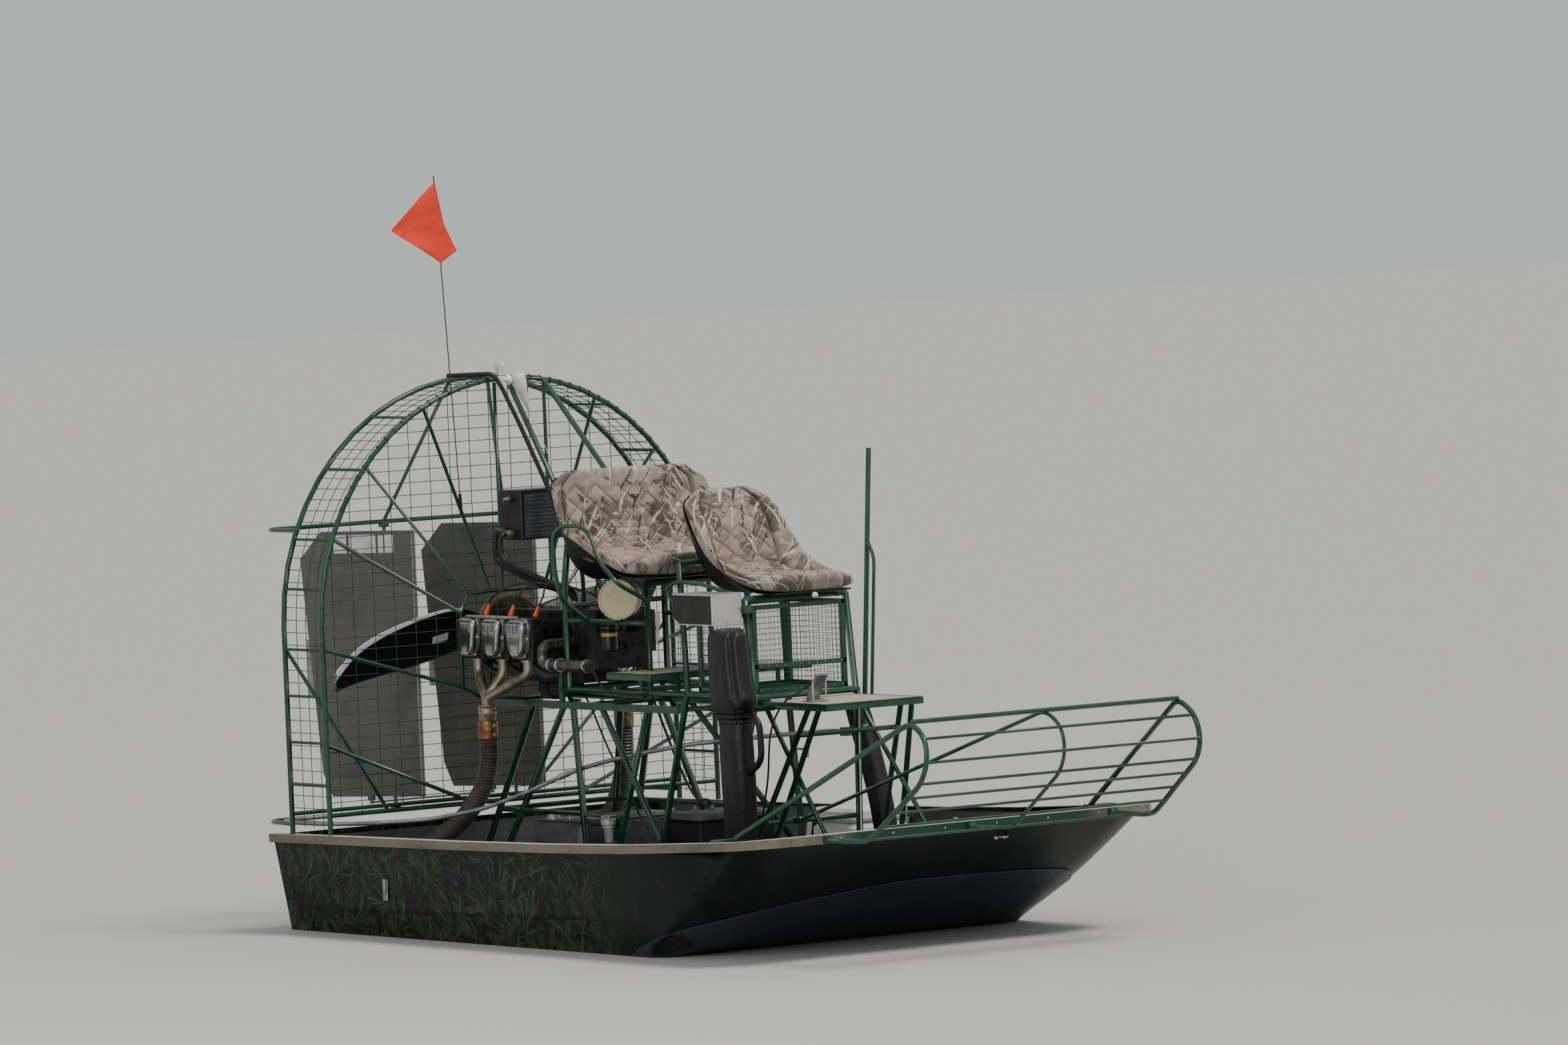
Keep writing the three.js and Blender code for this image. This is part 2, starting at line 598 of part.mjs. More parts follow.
// Closed bucket on a seat's profile: its low and high surfaces stand off by functions of the station and of t, -1 to 1 across
function bucket(profile, low, high) {
  const across = 4;
  const corner = (index, step, offset) => {
    const [x, z, half] = profile[index];
    const [dx, dz] = alongSeat(profile, index);
    const t = step / across;
    const off = offset(profile[index], Math.abs(t));
    return V(x + dz * off, half * t, z - dx * off);
  };
  const triangles = [];
  const face = (a, b, c, d) => triangles.push(a, b, c, a, c, d);
  const last = profile.length - 1;
  for (let i = 0; i < last; i++) {
    for (let j = -across; j < across; j++) {
      face(corner(i, j, high), corner(i, j + 1, high), corner(i + 1, j + 1, high), corner(i + 1, j, high));
      face(corner(i, j, low), corner(i + 1, j, low), corner(i + 1, j + 1, low), corner(i, j + 1, low));
    }
    face(corner(i, -across, low), corner(i, -across, high), corner(i + 1, -across, high), corner(i + 1, -across, low));
    face(corner(i, across, high), corner(i, across, low), corner(i + 1, across, low), corner(i + 1, across, high));
  }
  for (let j = -across; j < across; j++) {
    face(corner(0, j, low), corner(0, j + 1, low), corner(0, j + 1, high), corner(0, j, high));
    face(corner(last, j, high), corner(last, j + 1, high), corner(last, j + 1, low), corner(last, j, low));
  }
  return new THREE.BufferGeometry().setFromPoints(triangles);
}

// Point at a distance below a seat's profile, at the given station
function underSeat(profile, index, distance) {
  const [x, z] = profile[index];
  const [dx, dz] = alongSeat(profile, index);
  return [x - dz * distance, z + dx * distance];
}

function buildSeats() {
  const under = ([, , , , low], t) => low * t ** 3;
  const above = ([, , , pad, , crest], t) => pad + (crest - pad) * t ** 3;
  for (const [name, profile] of Object.entries(SEATS)) {
    add(`${name}_seat_cushion`, bucket(profile, under, above), 'cloth');
    const inner = (station, t) => under(station, t) - FIT;
    const outer = (station, t) => inner(station, t) - SHELL;
    add(`${name}_seat_shell`, bucket(profile, outer, inner), 'black');
  }
}

// Foot of a stand leg: a small plate on the floor bearers, or on the bottom sheet beside them
function footPlate(x, y, level = FLOOR_TOP) {
  return box(x - 34, y - 20, level + FIT, x + 34, y + 20, level + 12);
}

// Engine stand: two bed rails on splayed legs, tied across and along
function buildEngineStand() {
  const half = FRAME_TUBE;
  const foot = FLOOR_TOP + 14;
  const legs = [
    // foot x, top x
    [570, 950], [700, 1200], [1610, 1270], [1700, 1870], [2450, 1500],
  ];
  const parts = [];
  for (const side of [-1, 1]) {
    parts.push(box(540, side * BED_Y - half, BED_Z - half, 2130, side * BED_Y + half, BED_Z + half));
    for (const [x0, x1] of legs) {
      parts.push(bar(V(x0, side * FOOT_Y, foot), V(x1, side * BED_Y, BED_Z), half, 6));
      parts.push(footPlate(x0, side * FOOT_Y));
    }
    parts.push(bar(V(758, side * 336, 545), V(1794, side * 336, 545), 12, 6));
    for (const x of [580, 1170]) parts.push(bar(V(x, side * 240, BED_Z), V(x, side * 240, 1238), half, 6));
  }
  for (const x of [560, 1320, 2110]) parts.push(bar(V(x, -BED_Y, BED_Z), V(x, BED_Y, BED_Z), 12, 6));
  parts.push(bar(V(758, -336, 545), V(758, 336, 545), 12, 6));
  const under = PROP_Z - 115 - FIT;
  for (const x of [580, 1170]) parts.push(box(x - 16, -BED_Y, under - 26, x + 16, BED_Y, under));
  add('engine_stand', join(parts), 'green');
}

// Seat stand: beams over the engine bed, posts to both seats, arm loops, basket bearers and stick bracket
function buildSeatStand() {
  const half = FRAME_TUBE;
  const clear = SHELL + 2 * FIT + half;
  const { rear, front } = SEATS;
  const parts = [];
  for (const side of [-1, 1]) {
    const y = side * BEAM_Y;
    parts.push(bar(V(1240, y, BEAM_Z), V(2790, y, BEAM_Z), 14, 6));
    for (const x of [1260, 2080]) {
      parts.push(box(x - 30, y - side * 50 - 14, BED_Z + half + FIT, x + 30, y - side * 50 + 14, BED_Z + half + 14));
      parts.push(bar(V(x, side * BED_Y, BED_Z + half + 8), V(x, y, BEAM_Z), 12, 6));
    }
    const [backX, backZ] = underSeat(rear, 5, clear);
    parts.push(tube([V(1290, y, BEAM_Z), V(1290, y, 1600), V(backX, y, backZ)], half, 60, 6, 3));
    parts.push(bar(V(backX, y, backZ), V(backX, 0, backZ), half, 6));
    const tops = [[1952, rear, 1, clear], [2245, front, 4, clear], [2770, front, 1, clear]];
    for (const [x, profile, index, distance] of tops) {
      const [tx, tz] = underSeat(profile, index, distance);
      parts.push(bar(V(x, y, BEAM_Z), V(tx, y, tz), half, 6));
      parts.push(bar(V(tx, y, tz), V(tx, 0, tz), half, 6));
    }
    for (const [x0, x1, footY, level] of [[2240, 2100, 464, BOTTOM_SHEET], [2780, 2560, FOOT_Y, FLOOR_TOP]]) {
      parts.push(bar(V(x0, y, BEAM_Z), V(x1, side * footY, level + 14), half, 6));
      parts.push(footPlate(x1, side * footY, level));
    }
    parts.push(bar(V(1290, y, 1440), V(1950, y, 1440), 12, 6));
    const rearArm = [
      V(1480, y, 1440), V(1560, side * 500, 1560), V(1565, side * 530, 1700), V(1565, side * 530, 1860),
      V(1640, side * 530, 1900), V(1780, side * 530, 1905), V(1860, side * 530, 1870), V(1930, side * 530, 1740),
      V(2068, side * 530, 1640), V(1955, y, 1545),
    ];
    parts.push(tube(rearArm, 11, 60, 6, 3));
    const frontArm = [
      V(2250, y, 1480), V(2130, side * 312, 1600), V(2220, side * 312, 1640), V(2440, side * 312, 1632),
      V(2590, side * 312, 1602), V(2722, y, 1548),
    ];
    parts.push(tube(frontArm, 11, 60, 6, 3));
    for (const x of [STEP.x0 + 30, STEP.x1 - 30]) parts.push(bar(V(x, y, BEAM_Z), V(x, y, STEP.z - 20), 12, 6));
  }
  for (const x of [1240, 1700, 2330, 2700, 2780]) parts.push(bar(V(x, -BEAM_Y, BEAM_Z), V(x, BEAM_Y, BEAM_Z), 14, 6));
  parts.push(bar(V(2658, -360, 530), V(2658, 360, 530), 12, 6), box(2640, -22, 518, 2676, 22, 546));
  parts.push(bar(V(1290, -BEAM_Y, 1508), V(1290, BEAM_Y, 1508), 12, 6));
  for (const [y, , x, z, drop] of STAYS) parts.push(box(x - 24, y - 23, z - drop, x + 50, y - 13 - FIT, z + 24));
  const edge = 24;
  const under = STEP.z - FIT;
  parts.push(cut(
    box(STEP.x0, -STEP.half, under - edge, STEP.x1, STEP.half, under),
    [box(STEP.x0 + edge, -STEP.half + edge, 0, STEP.x1 - edge, STEP.half - edge, under + 9)],
  ));
  for (const x of [STEP.x0 + 30, STEP.x1 - 30]) parts.push(box(x - 12, -STEP.half, under - edge, x + 12, STEP.half, under));
  // Bracket of the control stick and the clamp of its cable
  parts.push(bar(V(2741, 309, STICK.z), V(STICK.x, 340, STICK.z), 12, 6));
  parts.push(bar(V(STICK.x, 325, STICK.z), V(STICK.x, 365 - FIT, STICK.z), 18, 10));
  parts.push(bar(V(STICK.x, 335, STICK.z), V(2625, 330, 915), 10, 6));
  parts.push(box(2600, 310, 895, 2640, 350, 935));
  // Bracket of the instrument box, and the saddle of the round canister
  parts.push(box(2600, -330 + FIT, 1505, 2785, -275, 1535));
  parts.push(box(CANISTER.x - 15, -300, 1440, CANISTER.x + 15, -262, CANISTER.z - CANISTER.radius - FIT));
  add('seat_stand', join(parts), 'green');

  const postHoles = [-1, 1].map((side) => bar(V(1953, side * BEAM_Y, 1100), V(1953, side * BEAM_Y, 1300), 21, 12));
  const step = box(STEP.x0, -STEP.half, STEP.z, STEP.x1, STEP.half, STEP.z + STEP.sheet);
  add('passenger_step', cut(step, postHoles), 'plate');
}

// Driver's foot platform on its own braced stand, with the accelerator pedal
function buildPlatform() {
  const { x0, x1, half, z, sheet } = PLATFORM;
  add('driver_platform', box(x0, -half, z - sheet, x1, half, z), 'plate');
  const under = z - sheet - FIT;
  const edge = 25;
  const parts = [cut(
    box(x0, -half, under - edge, x1, half, under),
    [box(x0 + edge, -half + edge, 0, x1 - edge, half - edge, under + 9)],
  )];
  for (const side of [-1, 1]) {
    const y = side * (half - 14);
    parts.push(bar(V(3150, y, under - 12), V(2640, side * FOOT_Y, FLOOR_TOP + 14), 13, 6), footPlate(2640, side * FOOT_Y));
    parts.push(bar(V(3230, y, under - 12), V(2815, side * FOOT_Y, FLOOR_TOP + 14), 13, 6), footPlate(2815, side * FOOT_Y));
    parts.push(bar(V(2815, y, under - 14), V(3330, side * 290, 440), 11, 6));
    parts.push(bar(V(3322, side * 287, 432), V(2828, side * 415, FLOOR_TOP + 30), 10, 6));
  }
  parts.push(bar(V(3328, -297, 438), V(3328, 297, 438), 11, 6));
  parts.push(bar(V(3097, -279, 955), V(3097, 279, 955), 11, 6));
  parts.push(box(2855, -BOOT_Y + FIT, 1062, 2895, -half + 10, 1086));
  add('platform_stand', join(parts), 'green');

  const pedal = [[3015, z + FIT], [3075, z + FIT], [3075, z + 10], [3045, z + 14], [3110, z + 120], [3098, z + 128], [3020, z + 14]];
  add('accelerator_pedal', plateXZ(pedal, -180, 60), 'aluminium');
}

// Open wire basket under the driver's seat, as a thin-walled tray
function buildBasket() {
  const wall = 4;
  const base = BEAM_Z + 14 + FIT;
  const outer = box(2300, -262, base, 2745, 262, 1535);
  add('basket', cut(outer, [box(2300 + wall, -262 + wall, base + wall, 2745 - wall, 262 - wall, 1600)]), 'green');
}

function buildControls() {
  const { x, y, z, lean, top, tube: radius } = STICK;
  const length = top - z;
  const parts = [
    bar(V(0, -20, 0), V(0, 20, 0), 20, 12),
    bar(V(0, 0, 0), V(0, 0, length), radius, 8),
    tube([V(0, 0, 870), V(55, 0, 800), V(55, 0, 130), V(0, 0, 60)], 8, 50, 6, 3),
  ];
  const stick = join(parts);
  stick.rotateY(lean * DEG).translate(x, y, z);
  add('control_stick', stick, 'green');

  const route = [
    V(2600 - FIT, 330, 915), V(2500, 330, 915), V(2300, 150, 900), V(2000, -100, 870), V(1700, -215, 820),
    V(1400, -262, 762), V(1230, -290, 715), V(1060, -372, 640), V(860, -500, 560), V(620, -640, 512), V(450, -860, 505),
    V(300, -1010, 508), V(100, -1060, GUARD_Z), V(-30, -1040, GUARD_Z), V(-76, -950, GUARD_Z), V(-76, -600, GUARD_Z),
  ];
  add('steering_cable', tube(route, 11, 90, 8, 3), 'aluminium');
}

// Upright boot with rounded corners through stations [z, middle x, half length, half width], flat on its inner side
function gunBoot(stations, side) {
  const corners = [[-1, 0.5], [-1, -0.5], [-0.62, -1], [0.62, -1], [1, -0.5], [1, 0.5], [0.62, 1], [-0.62, 1]];
  const rings = stations.map(([z, x, length, width]) => corners.map(([a, b]) => V(x + a * length, side * (BOOT_Y + width + b * width), z)));
  return loft(side > 0 ? rings : rings.map((ring) => [...ring].reverse()));
}

// Two long gun boots, the blank instrument box, the round canister and the small fittings
function buildFittings() {
  const foot = BOTTOM_SHEET + FIT;
  const starboard = [
    [foot, 2905, 68, 46], [700, 2918, 88, 58], [1080, 2900, 94, 60], [1112, 2886, 80, 52], [1150, 2874, 90, 60], [1450, 2846, 98, 60],
  ];
  const handleY = -BOOT_Y - 56;
  const grip = [V(2980, handleY, 1060), V(3090, handleY, 1045), V(3100, handleY, 850), V(2985, handleY, 790)];
  const handle = tube(grip, 16, 60, 6, 3);
  add('gun_boot_starboard', join([gunBoot(starboard, -1), handle]), 'black');
  const port = [[foot, 2784, 56, 44], [610, 2644, 56, 48], [1030, 2492, 62, 48]];
  add('gun_boot_port', gunBoot(port, 1), 'black');

  const boxSide = [[2450, 1490], [2500, 1457], [2760, 1457], [2760, 1600], [2450, 1600]];
  add('instrument_box', plateXZ(boxSide, -500, 170), 'aluminium');

  const { x, y, z, radius, length } = CANISTER;
  add('canister', new THREE.CylinderGeometry(radius, radius, length, 16).rotateZ(-135 * DEG).translate(x, y, z), 'cream');
}

// Oil cooler on brackets behind the cage's front frame, with its two hoses to the engine
function buildCooler() {
  const parts = [box(600, -160, 1800, 780, 240, 2035)];
  const near = HOOP_FRONT_X + SPOKE_TUBE + FIT;
  for (const z of [1840, 1995]) parts.push(box(near, -94, z - 12, 610, -74, z + 12), box(near, 190, z - 12, 610, 210, z + 12));
  add('oil_cooler', join(parts), 'black');

  const start = -160 - FIT;
  const hoses = [
    [V(640, start, 1840), V(640, -215, 1840), V(640, -225, 1700), V(930, -160, 1590), V(950, -60, 1560), V(950, -60, 1470 + FIT)],
    [V(700, start, 1830), V(700, -235, 1830), V(720, -240, 1700), V(1030, -170, 1600), V(1050, -60, 1570), V(1050, -60, 1470 + FIT)],
  ];
  const clamp = bar(V(640, -221, 1745), V(714, -238, 1745), 8, 6);
  add('oil_hoses', join([...hoses.map((hose) => tube(hose, 14, 60, 8, 4)), clamp]), 'black');
}

// Flag staff with its pennant, anchor light, folded antenna and the sleeved wiring along the hoops
function buildMast() {
  const x = HOOP_FRONT_X + 16.5;
  const staff = [bar(V(x, -314, 1930), V(x, -318, 2025), 8, 8), bar(V(x, -316, 1990), V(x, -390, 3530), 3, 6)];
  add('flag_staff', join(staff), 'black');
  const flag = [[-388, 3500], [-345, 3300], [-275, 3170], [-370, 3115], [-655, 3280]];
  add('pennant', plateYZ(flag, x + 3 + FIT, 3), 'orange');

  const hoopTop = HOOP_Z + HOOP_RADIUS;
  add('anchor_light', new THREE.CylinderGeometry(20, 32, 70, 14).rotateX(Math.PI / 2)
    .translate(HOOP_FRONT_X, -40, hoopTop + HOOP_FLAT + 34.5), 'white');
  const ratchet = box(HOOP_FRONT_X + HOOP_FLAT + FIT, -85, 2450, HOOP_FRONT_X + 45, -38, 2568);
  const pivot = bar(V(528, -60, 2552), V(545, 45, 2552), 9, 8);
  const cone = bar(V(545, 40, 2560), V(545, 110, 2395), 12, 8);
  add('antenna', join([ratchet, pivot, cone, bar(V(545, 106, 2405), V(545, 240, 2110), 3, 6)]), 'white');

  const sleeve = [
    V(175, -230, 2562), V(470, -140, 2576), V(520, -112, 2574), V(560, -100, 2520), V(640, -45, 2330), V(860, -45, 2020),
    V(1080, -45, 1720), V(1100, -45, 1620), V(1100, -45, 1470 + FIT),
  ];
  add('wiring_sleeve', tube(sleeve, 11, 50, 8, 3), 'black');
}

// Grass rake over the bow: two side hoops and a middle one, joined by level bars
function buildRake() {
  const { halfTop, halfFoot, top, foot, tube: radius, middle, rod } = RAKE;
  const span = (z) => halfFoot - (halfFoot - halfTop) * (z - foot) / (top - foot);
  const bow = HULL_LENGTH + RAIL_WIDTH + FIT;
  const bend = [[HULL_LENGTH + 36, foot], [4230, foot], ...[...RAKE_BARS].reverse()];
  const parts = [];
  for (const side of [-1, 1]) {
    const points = bend.map(([x, z]) => V(x, side * span(z), z));
    points.push(V(3570, side * 1000, 560));
    parts.push(tube(points, radius, 90, 8, 4));
    parts.push(box(3540, Math.min(side * 980, side * 1120), foot, 3600, Math.max(side * 980, side * 1120), 560));
    const y = side * span(foot);
    parts.push(box(bow, y - 22, foot - 15, HULL_LENGTH + 40, y + 22, foot + 19));
  }
  const points = bend.map(([x, z]) => V(x, 0, z));
  points.push(V(2690, 0, 534));
  parts.push(tube(points, middle, 80, 6, 4), box(2676 + FIT, -14, 520, 2705, 14, 550));
  parts.push(box(bow, -22, foot - 15, HULL_LENGTH + 40, 22, foot + 19));
  RAKE_BARS.forEach(([x, z], i) => {
    const y = span(z);
    parts.push(bar(V(x, -y, z), V(x, y, z), i === 0 ? radius - 2 : rod, 6));
  });
  add('grass_rake', join(parts), 'green');
}

buildHull();
buildRails();
buildFloor();
buildEngine();
buildPropeller();
buildCage();
buildRudders();
buildSeats();
buildEngineStand();
buildSeatStand();
buildPlatform();
buildBasket();
buildControls();
buildFittings();
buildCooler();
buildMast();
buildRake();
export default group;
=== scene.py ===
"""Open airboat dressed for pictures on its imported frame. Tables are in millimetres from the transom."""
import json
import math

import bmesh
import bpy
import numpy as np
from mathutils import Matrix


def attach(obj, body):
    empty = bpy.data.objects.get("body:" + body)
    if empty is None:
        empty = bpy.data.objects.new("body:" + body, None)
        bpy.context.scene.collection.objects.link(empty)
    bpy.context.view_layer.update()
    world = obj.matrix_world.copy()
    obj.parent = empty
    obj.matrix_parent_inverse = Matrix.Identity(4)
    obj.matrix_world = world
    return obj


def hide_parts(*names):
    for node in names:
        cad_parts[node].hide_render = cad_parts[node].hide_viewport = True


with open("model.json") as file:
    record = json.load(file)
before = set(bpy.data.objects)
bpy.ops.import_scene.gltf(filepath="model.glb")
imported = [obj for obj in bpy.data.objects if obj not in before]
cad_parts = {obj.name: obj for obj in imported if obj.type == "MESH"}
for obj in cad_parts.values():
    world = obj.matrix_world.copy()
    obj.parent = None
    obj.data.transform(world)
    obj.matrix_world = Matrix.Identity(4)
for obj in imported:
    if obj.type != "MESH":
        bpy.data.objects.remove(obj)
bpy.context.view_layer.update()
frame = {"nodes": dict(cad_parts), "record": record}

# Transom to the frame's origin, and the hull's length
MIDDLE = 2095.6
HULL_LENGTH = 3960

# Directions that parts face
FORWARD, AFT = (1, 0, 0), (-1, 0, 0)
PORT, STARBOARD = (0, 1, 0), (0, -1, 0)
UP, DOWN = (0, 0, 1), (0, 0, -1)

# Cage, shaft, and the rudders' pins with their turn at rest in degrees
FRONT_HOOP = 490
REAR_HOOP = 170
HOOP_RADIUS = 1120
HOOP_MIDDLE = 1440
SHAFT_X = 330
SHAFT_Z = 1365
RUDDER_X = -100
RUDDER_Y = 350
RUDDER_TURN = 27
# Each side's name and the sign of its y
SIDES = (("port", 1), ("starboard", -1))
# Step of the seats' quilting along the run: lines both ways at 45 degrees
QUILT = 115

# Seats, lip to top: [x, z, half width, padding, underside and crest of the rim, depth of the bucket]
SEATS = {"rear": [[2100, 1665, 405, 98, 2, 84, 0], [1950, 1652, 432, 102, 20, 104, 0],
                  [1790, 1642, 440, 94, 95, 165, 0], [1600, 1646, 444, 84, 172, 240, 12],
                  [1440, 1692, 446, 104, 186, 256, 74], [1356, 1808, 446, 118, 166, 236, 38],
                  [1334, 1950, 444, 106, 120, 188, 24], [1338, 2080, 432, 84, 70, 136, 8],
                  [1352, 2150, 376, 66, 40, 92, 0]],
         "front": [[2870, 1590, 225, 80, 0, 68, 0], [2720, 1590, 246, 86, 12, 90, 0],
                   [2520, 1594, 252, 78, 78, 142, 6], [2330, 1630, 252, 92, 134, 206, 44],
                   [2238, 1735, 252, 122, 114, 192, 48], [2178, 1855, 250, 132, 86, 164, 36],
                   [2142, 1965, 240, 104, 60, 122, 18], [2134, 2050, 192, 70, 30, 82, 0]]}
# Height that each bucket's underside rests on
SEAT_REST = {"rear": 1632, "front": 1580}
# Share of the half width that the quilted panel reaches
SEAT_PANEL = {"rear": 0.84, "front": 0.69}
# How much narrower the half width is at the very top
SEAT_CORNER = {"rear": 34, "front": 60}

# Blade: radius, leading and trailing edge, pitch in degrees, thickness
BLADE = [
    [50, 48, -48, 40, 40], [150, 112, -48, 36, 34], [254, 165, -46, 33, 28], [353, 186, -52, 30, 24],
    [500, 187, -54, 27, 20], [660, 172, -50, 24, 16], [780, 145, -46, 21, 13], [862, 110, -47, 19, 11],
    [925, 68, -52, 17, 9], [958, 44, -56, 16, 8], [968, 30, -54, 16, 7],
]


# Shapes: each is (points, [face arrays]), points in millimetres from the transom

def unit(vectors):
    """Vectors divided by their lengths."""
    return vectors / np.maximum(np.linalg.norm(vectors, axis=-1, keepdims=True), 1e-12)


def turns(count, start=0):
    """Even turn of angles: 2 pi (k + start) / count."""
    return (np.arange(count) + start) * 2 * math.pi / count


def signed(value, power):
    """Power of a value's size, with its sign kept."""
    return np.sign(value) * np.abs(value) ** power


def ramp_array(value, low, high):
    """Smooth step of an array: 0 below low, 1 above high, 3 k^2 - 2 k^3 between."""
    k = np.clip((value - low) / (high - low), 0, 1)
    return k * k * (3 - 2 * k)


def mound(value, middle, spread):
    """Bell of height 1: exp(-((v - middle) / spread)^2)."""
    return np.exp(-((value - middle) / spread) ** 2)


def points_at(x, y, z):
    """Points from three coordinates, each a number or an array, spread to one size."""
    return np.stack(np.broadcast_arrays(x, y, z), -1)


def quads(rows, columns, around=True):
    """Faces of a grid: (i, j), (i + 1, j), (i + 1, j + 1), (i, j + 1); j wraps when the grid goes
    around."""
    i, j = np.meshgrid(np.arange(rows - 1), np.arange(columns if around else columns - 1), indexing="ij")
    k = (j + 1) % columns
    here, beyond = i * columns, (i + 1) * columns
    return np.stack([here + j, beyond + j, beyond + k, here + k], -1).reshape(-1, 4)


def together(shapes):
    """One shape: each shape's faces counted on from the points of those before it."""
    points, faces, start = [], [], 0
    for shape, blocks in shapes:
        points.append(shape)
        faces += [block + start for block in blocks]
        start += len(shape)
    return np.vstack(points), faces


def bend(points, steps=8):
    """Curve through points; each span is 0.5 (2b + (c - a) t + (2a - 5b + 4c - d) t^2 + (3b - 3c + d - a)
    t^3)."""
    p = np.asarray(points, float)
    q = np.vstack([2 * p[0] - p[1], p, 2 * p[-1] - p[-2]])
    t = np.linspace(0, 1, steps, endpoint=False)[None, :, None]
    a, b, c, d = (q[k:len(q) - 3 + k, None] for k in range(4))
    curve = 0.5 * (2 * b + (c - a) * t + (2 * a - 5 * b + 4 * c - d) * t**2
                   + (3 * b - 3 * c + d - a) * t**3)
    return np.vstack([curve.reshape(-1, p.shape[1]), p[-1:]])


def skin(rings):
    """Closed skin over rings of equal count: quads between rings and one flat face on each end ring."""
    rings = np.asarray(rings, float)
    rows, columns = rings.shape[:2]
    ends = [np.arange(columns)[None, ::-1], (rows - 1) * columns + np.arange(columns)[None]]
    return rings.reshape(-1, 3), [quads(rows, columns), *ends]


def tube(path, radius, sides=12):
    """Round tube: path + r (cos a side + sin a up); up is the way that the path turns least towards."""
    path = np.asarray(path, float)
    along = unit(np.gradient(path, axis=0))
    level = np.linalg.svd(along)[2][2]
    up = unit(level - (along @ level)[:, None] * along)
    side = np.cross(along, up)
    a = turns(sides)
    around = np.cos(a)[None, :, None] * side[:, None] + np.sin(a)[None, :, None] * up[:, None]
    radius = np.asarray(radius, float)
    radius = radius[:, None] if radius.ndim == 1 else radius
    return skin(path[:, None] + np.broadcast_to(radius, (len(path), sides))[:, :, None] * around)


def turned(profile, origin, axis, sides=24):
    """Turned body: origin + d axis + r (cos a side + sin a up) for each (d, r) of the profile."""
    d, r = np.asarray(profile, float).T
    axis = unit(np.asarray(axis, float))
    side = unit(np.cross(axis, UP if abs(axis[2]) < 0.9 else FORWARD))
    a = turns(sides)
    around = np.cos(a)[:, None] * side + np.sin(a)[:, None] * np.cross(axis, side)
    return skin(np.asarray(origin, float) + d[:, None, None] * axis
                + np.maximum(r, 0.05)[:, None, None] * around)


def rods(starts, ends, radius, sides=6):
    """Straight rods, all at once: each end + r (cos a side + sin a up), side level and square to the
    rod."""
    s, e = (np.asarray(v, float).reshape(-1, 3) for v in (starts, ends))
    along = unit(e - s)
    helper = np.where(np.abs(along[:, 2:]) < 0.9, (0.0, 0.0, 1.0), (1.0, 0.0, 0.0))
    side = unit(np.cross(along, helper))
    a = turns(sides)
    ring = radius * (np.cos(a)[:, None] * side[:, None]
                     + np.sin(a)[:, None] * np.cross(side, along)[:, None])
    points = np.stack([s[:, None] + ring, e[:, None] + ring], 1).reshape(-1, 3)
    first = np.arange(len(s))[:, None] * 2 * sides
    walls = (first[:, None] + quads(2, sides)).reshape(-1, 4)
    near = first + np.arange(sides)
    return points, [walls, near, near + sides]


def copies(shape, places, axes, spin=0.0):
    """Copies of a shape that stands on z = 0: place + x side + y up + z axis for every place, all at
    once."""
    points, blocks = shape
    places, axes = np.asarray(places, float).reshape(-1, 3), unit(np.asarray(axes, float).reshape(-1, 3))
    axes = np.broadcast_to(axes, places.shape)
    helper = np.where(np.abs(axes[:, 2:]) < 0.9, (0.0, 0.0, 1.0), (1.0, 0.0, 0.0))
    side = unit(np.cross(axes, helper))
    up = np.cross(axes, side)
    c, s = math.cos(spin), math.sin(spin)
    x, y = points[:, :1] * c - points[:, 1:2] * s, points[:, :1] * s + points[:, 1:2] * c
    moved = places[:, None] + x * side[:, None] + y * up[:, None] + points[:, 2:] * axes[:, None]
    first = (np.arange(len(places)) * len(points))[:, None, None]
    return moved.reshape(-1, 3), [(first + block).reshape(-1, block.shape[1]) for block in blocks]


def bent_run(points, reach=60.0, steps=8):
    """Straight runs with each inner corner c rounded: (1 - t)^2 a + 2 t (1 - t) c + t^2 b, where a and b
    lie on the runs, at most a reach from c."""
    p = np.asarray(points, float)
    before, after = p[:-2] - p[1:-1], p[2:] - p[1:-1]
    shorter = np.minimum(np.linalg.norm(before, axis=1), np.linalg.norm(after, axis=1))
    back = np.minimum(reach, 0.48 * shorter)[:, None]
    a, b = (p[1:-1] + unit(v) * back for v in (before, after))
    t = np.linspace(0, 1, steps)[None, :, None]
    corners = (1 - t) ** 2 * a[:, None] + 2 * t * (1 - t) * p[1:-1, None] + t**2 * b[:, None]
    return np.vstack([p[:1], corners.reshape(-1, 3), p[-1:]])


def run_along(path):
    """Distance run from a path's start to each of its points."""
    return np.concatenate([[0], np.cumsum(np.linalg.norm(np.diff(path, axis=0), axis=1))])


def read_at(at, run, table):
    """Every column of a table, read at the given runs."""
    return np.stack([np.interp(at, run, column) for column in table.T], -1)


def evenly(path, spacing, multiple=1):
    """Path stepped off anew at nearly equal spacing; the number of steps is a multiple of the one
    given."""
    run = run_along(path)
    count = max(int(round(run[-1] / spacing / multiple)), 1) * multiple
    return read_at(np.linspace(0, run[-1], count + 1), run, path)


def ribbed(points, radius, pitch, depth, reach=60.0, sides=16, spiral=0):
    """Hose with a rib at every pitch: r + depth cos(2 pi run / pitch - spiral a); rings at 0, a helix at
    1."""
    line = evenly(bent_run(points, reach, 12), pitch / 4, 4)
    step = np.arange(len(line))[:, None] * math.pi / 2
    a = np.arange(sides)[None] * 2 * math.pi / sides
    return tube(line, radius + depth * np.cos(step - spiral * a), sides)


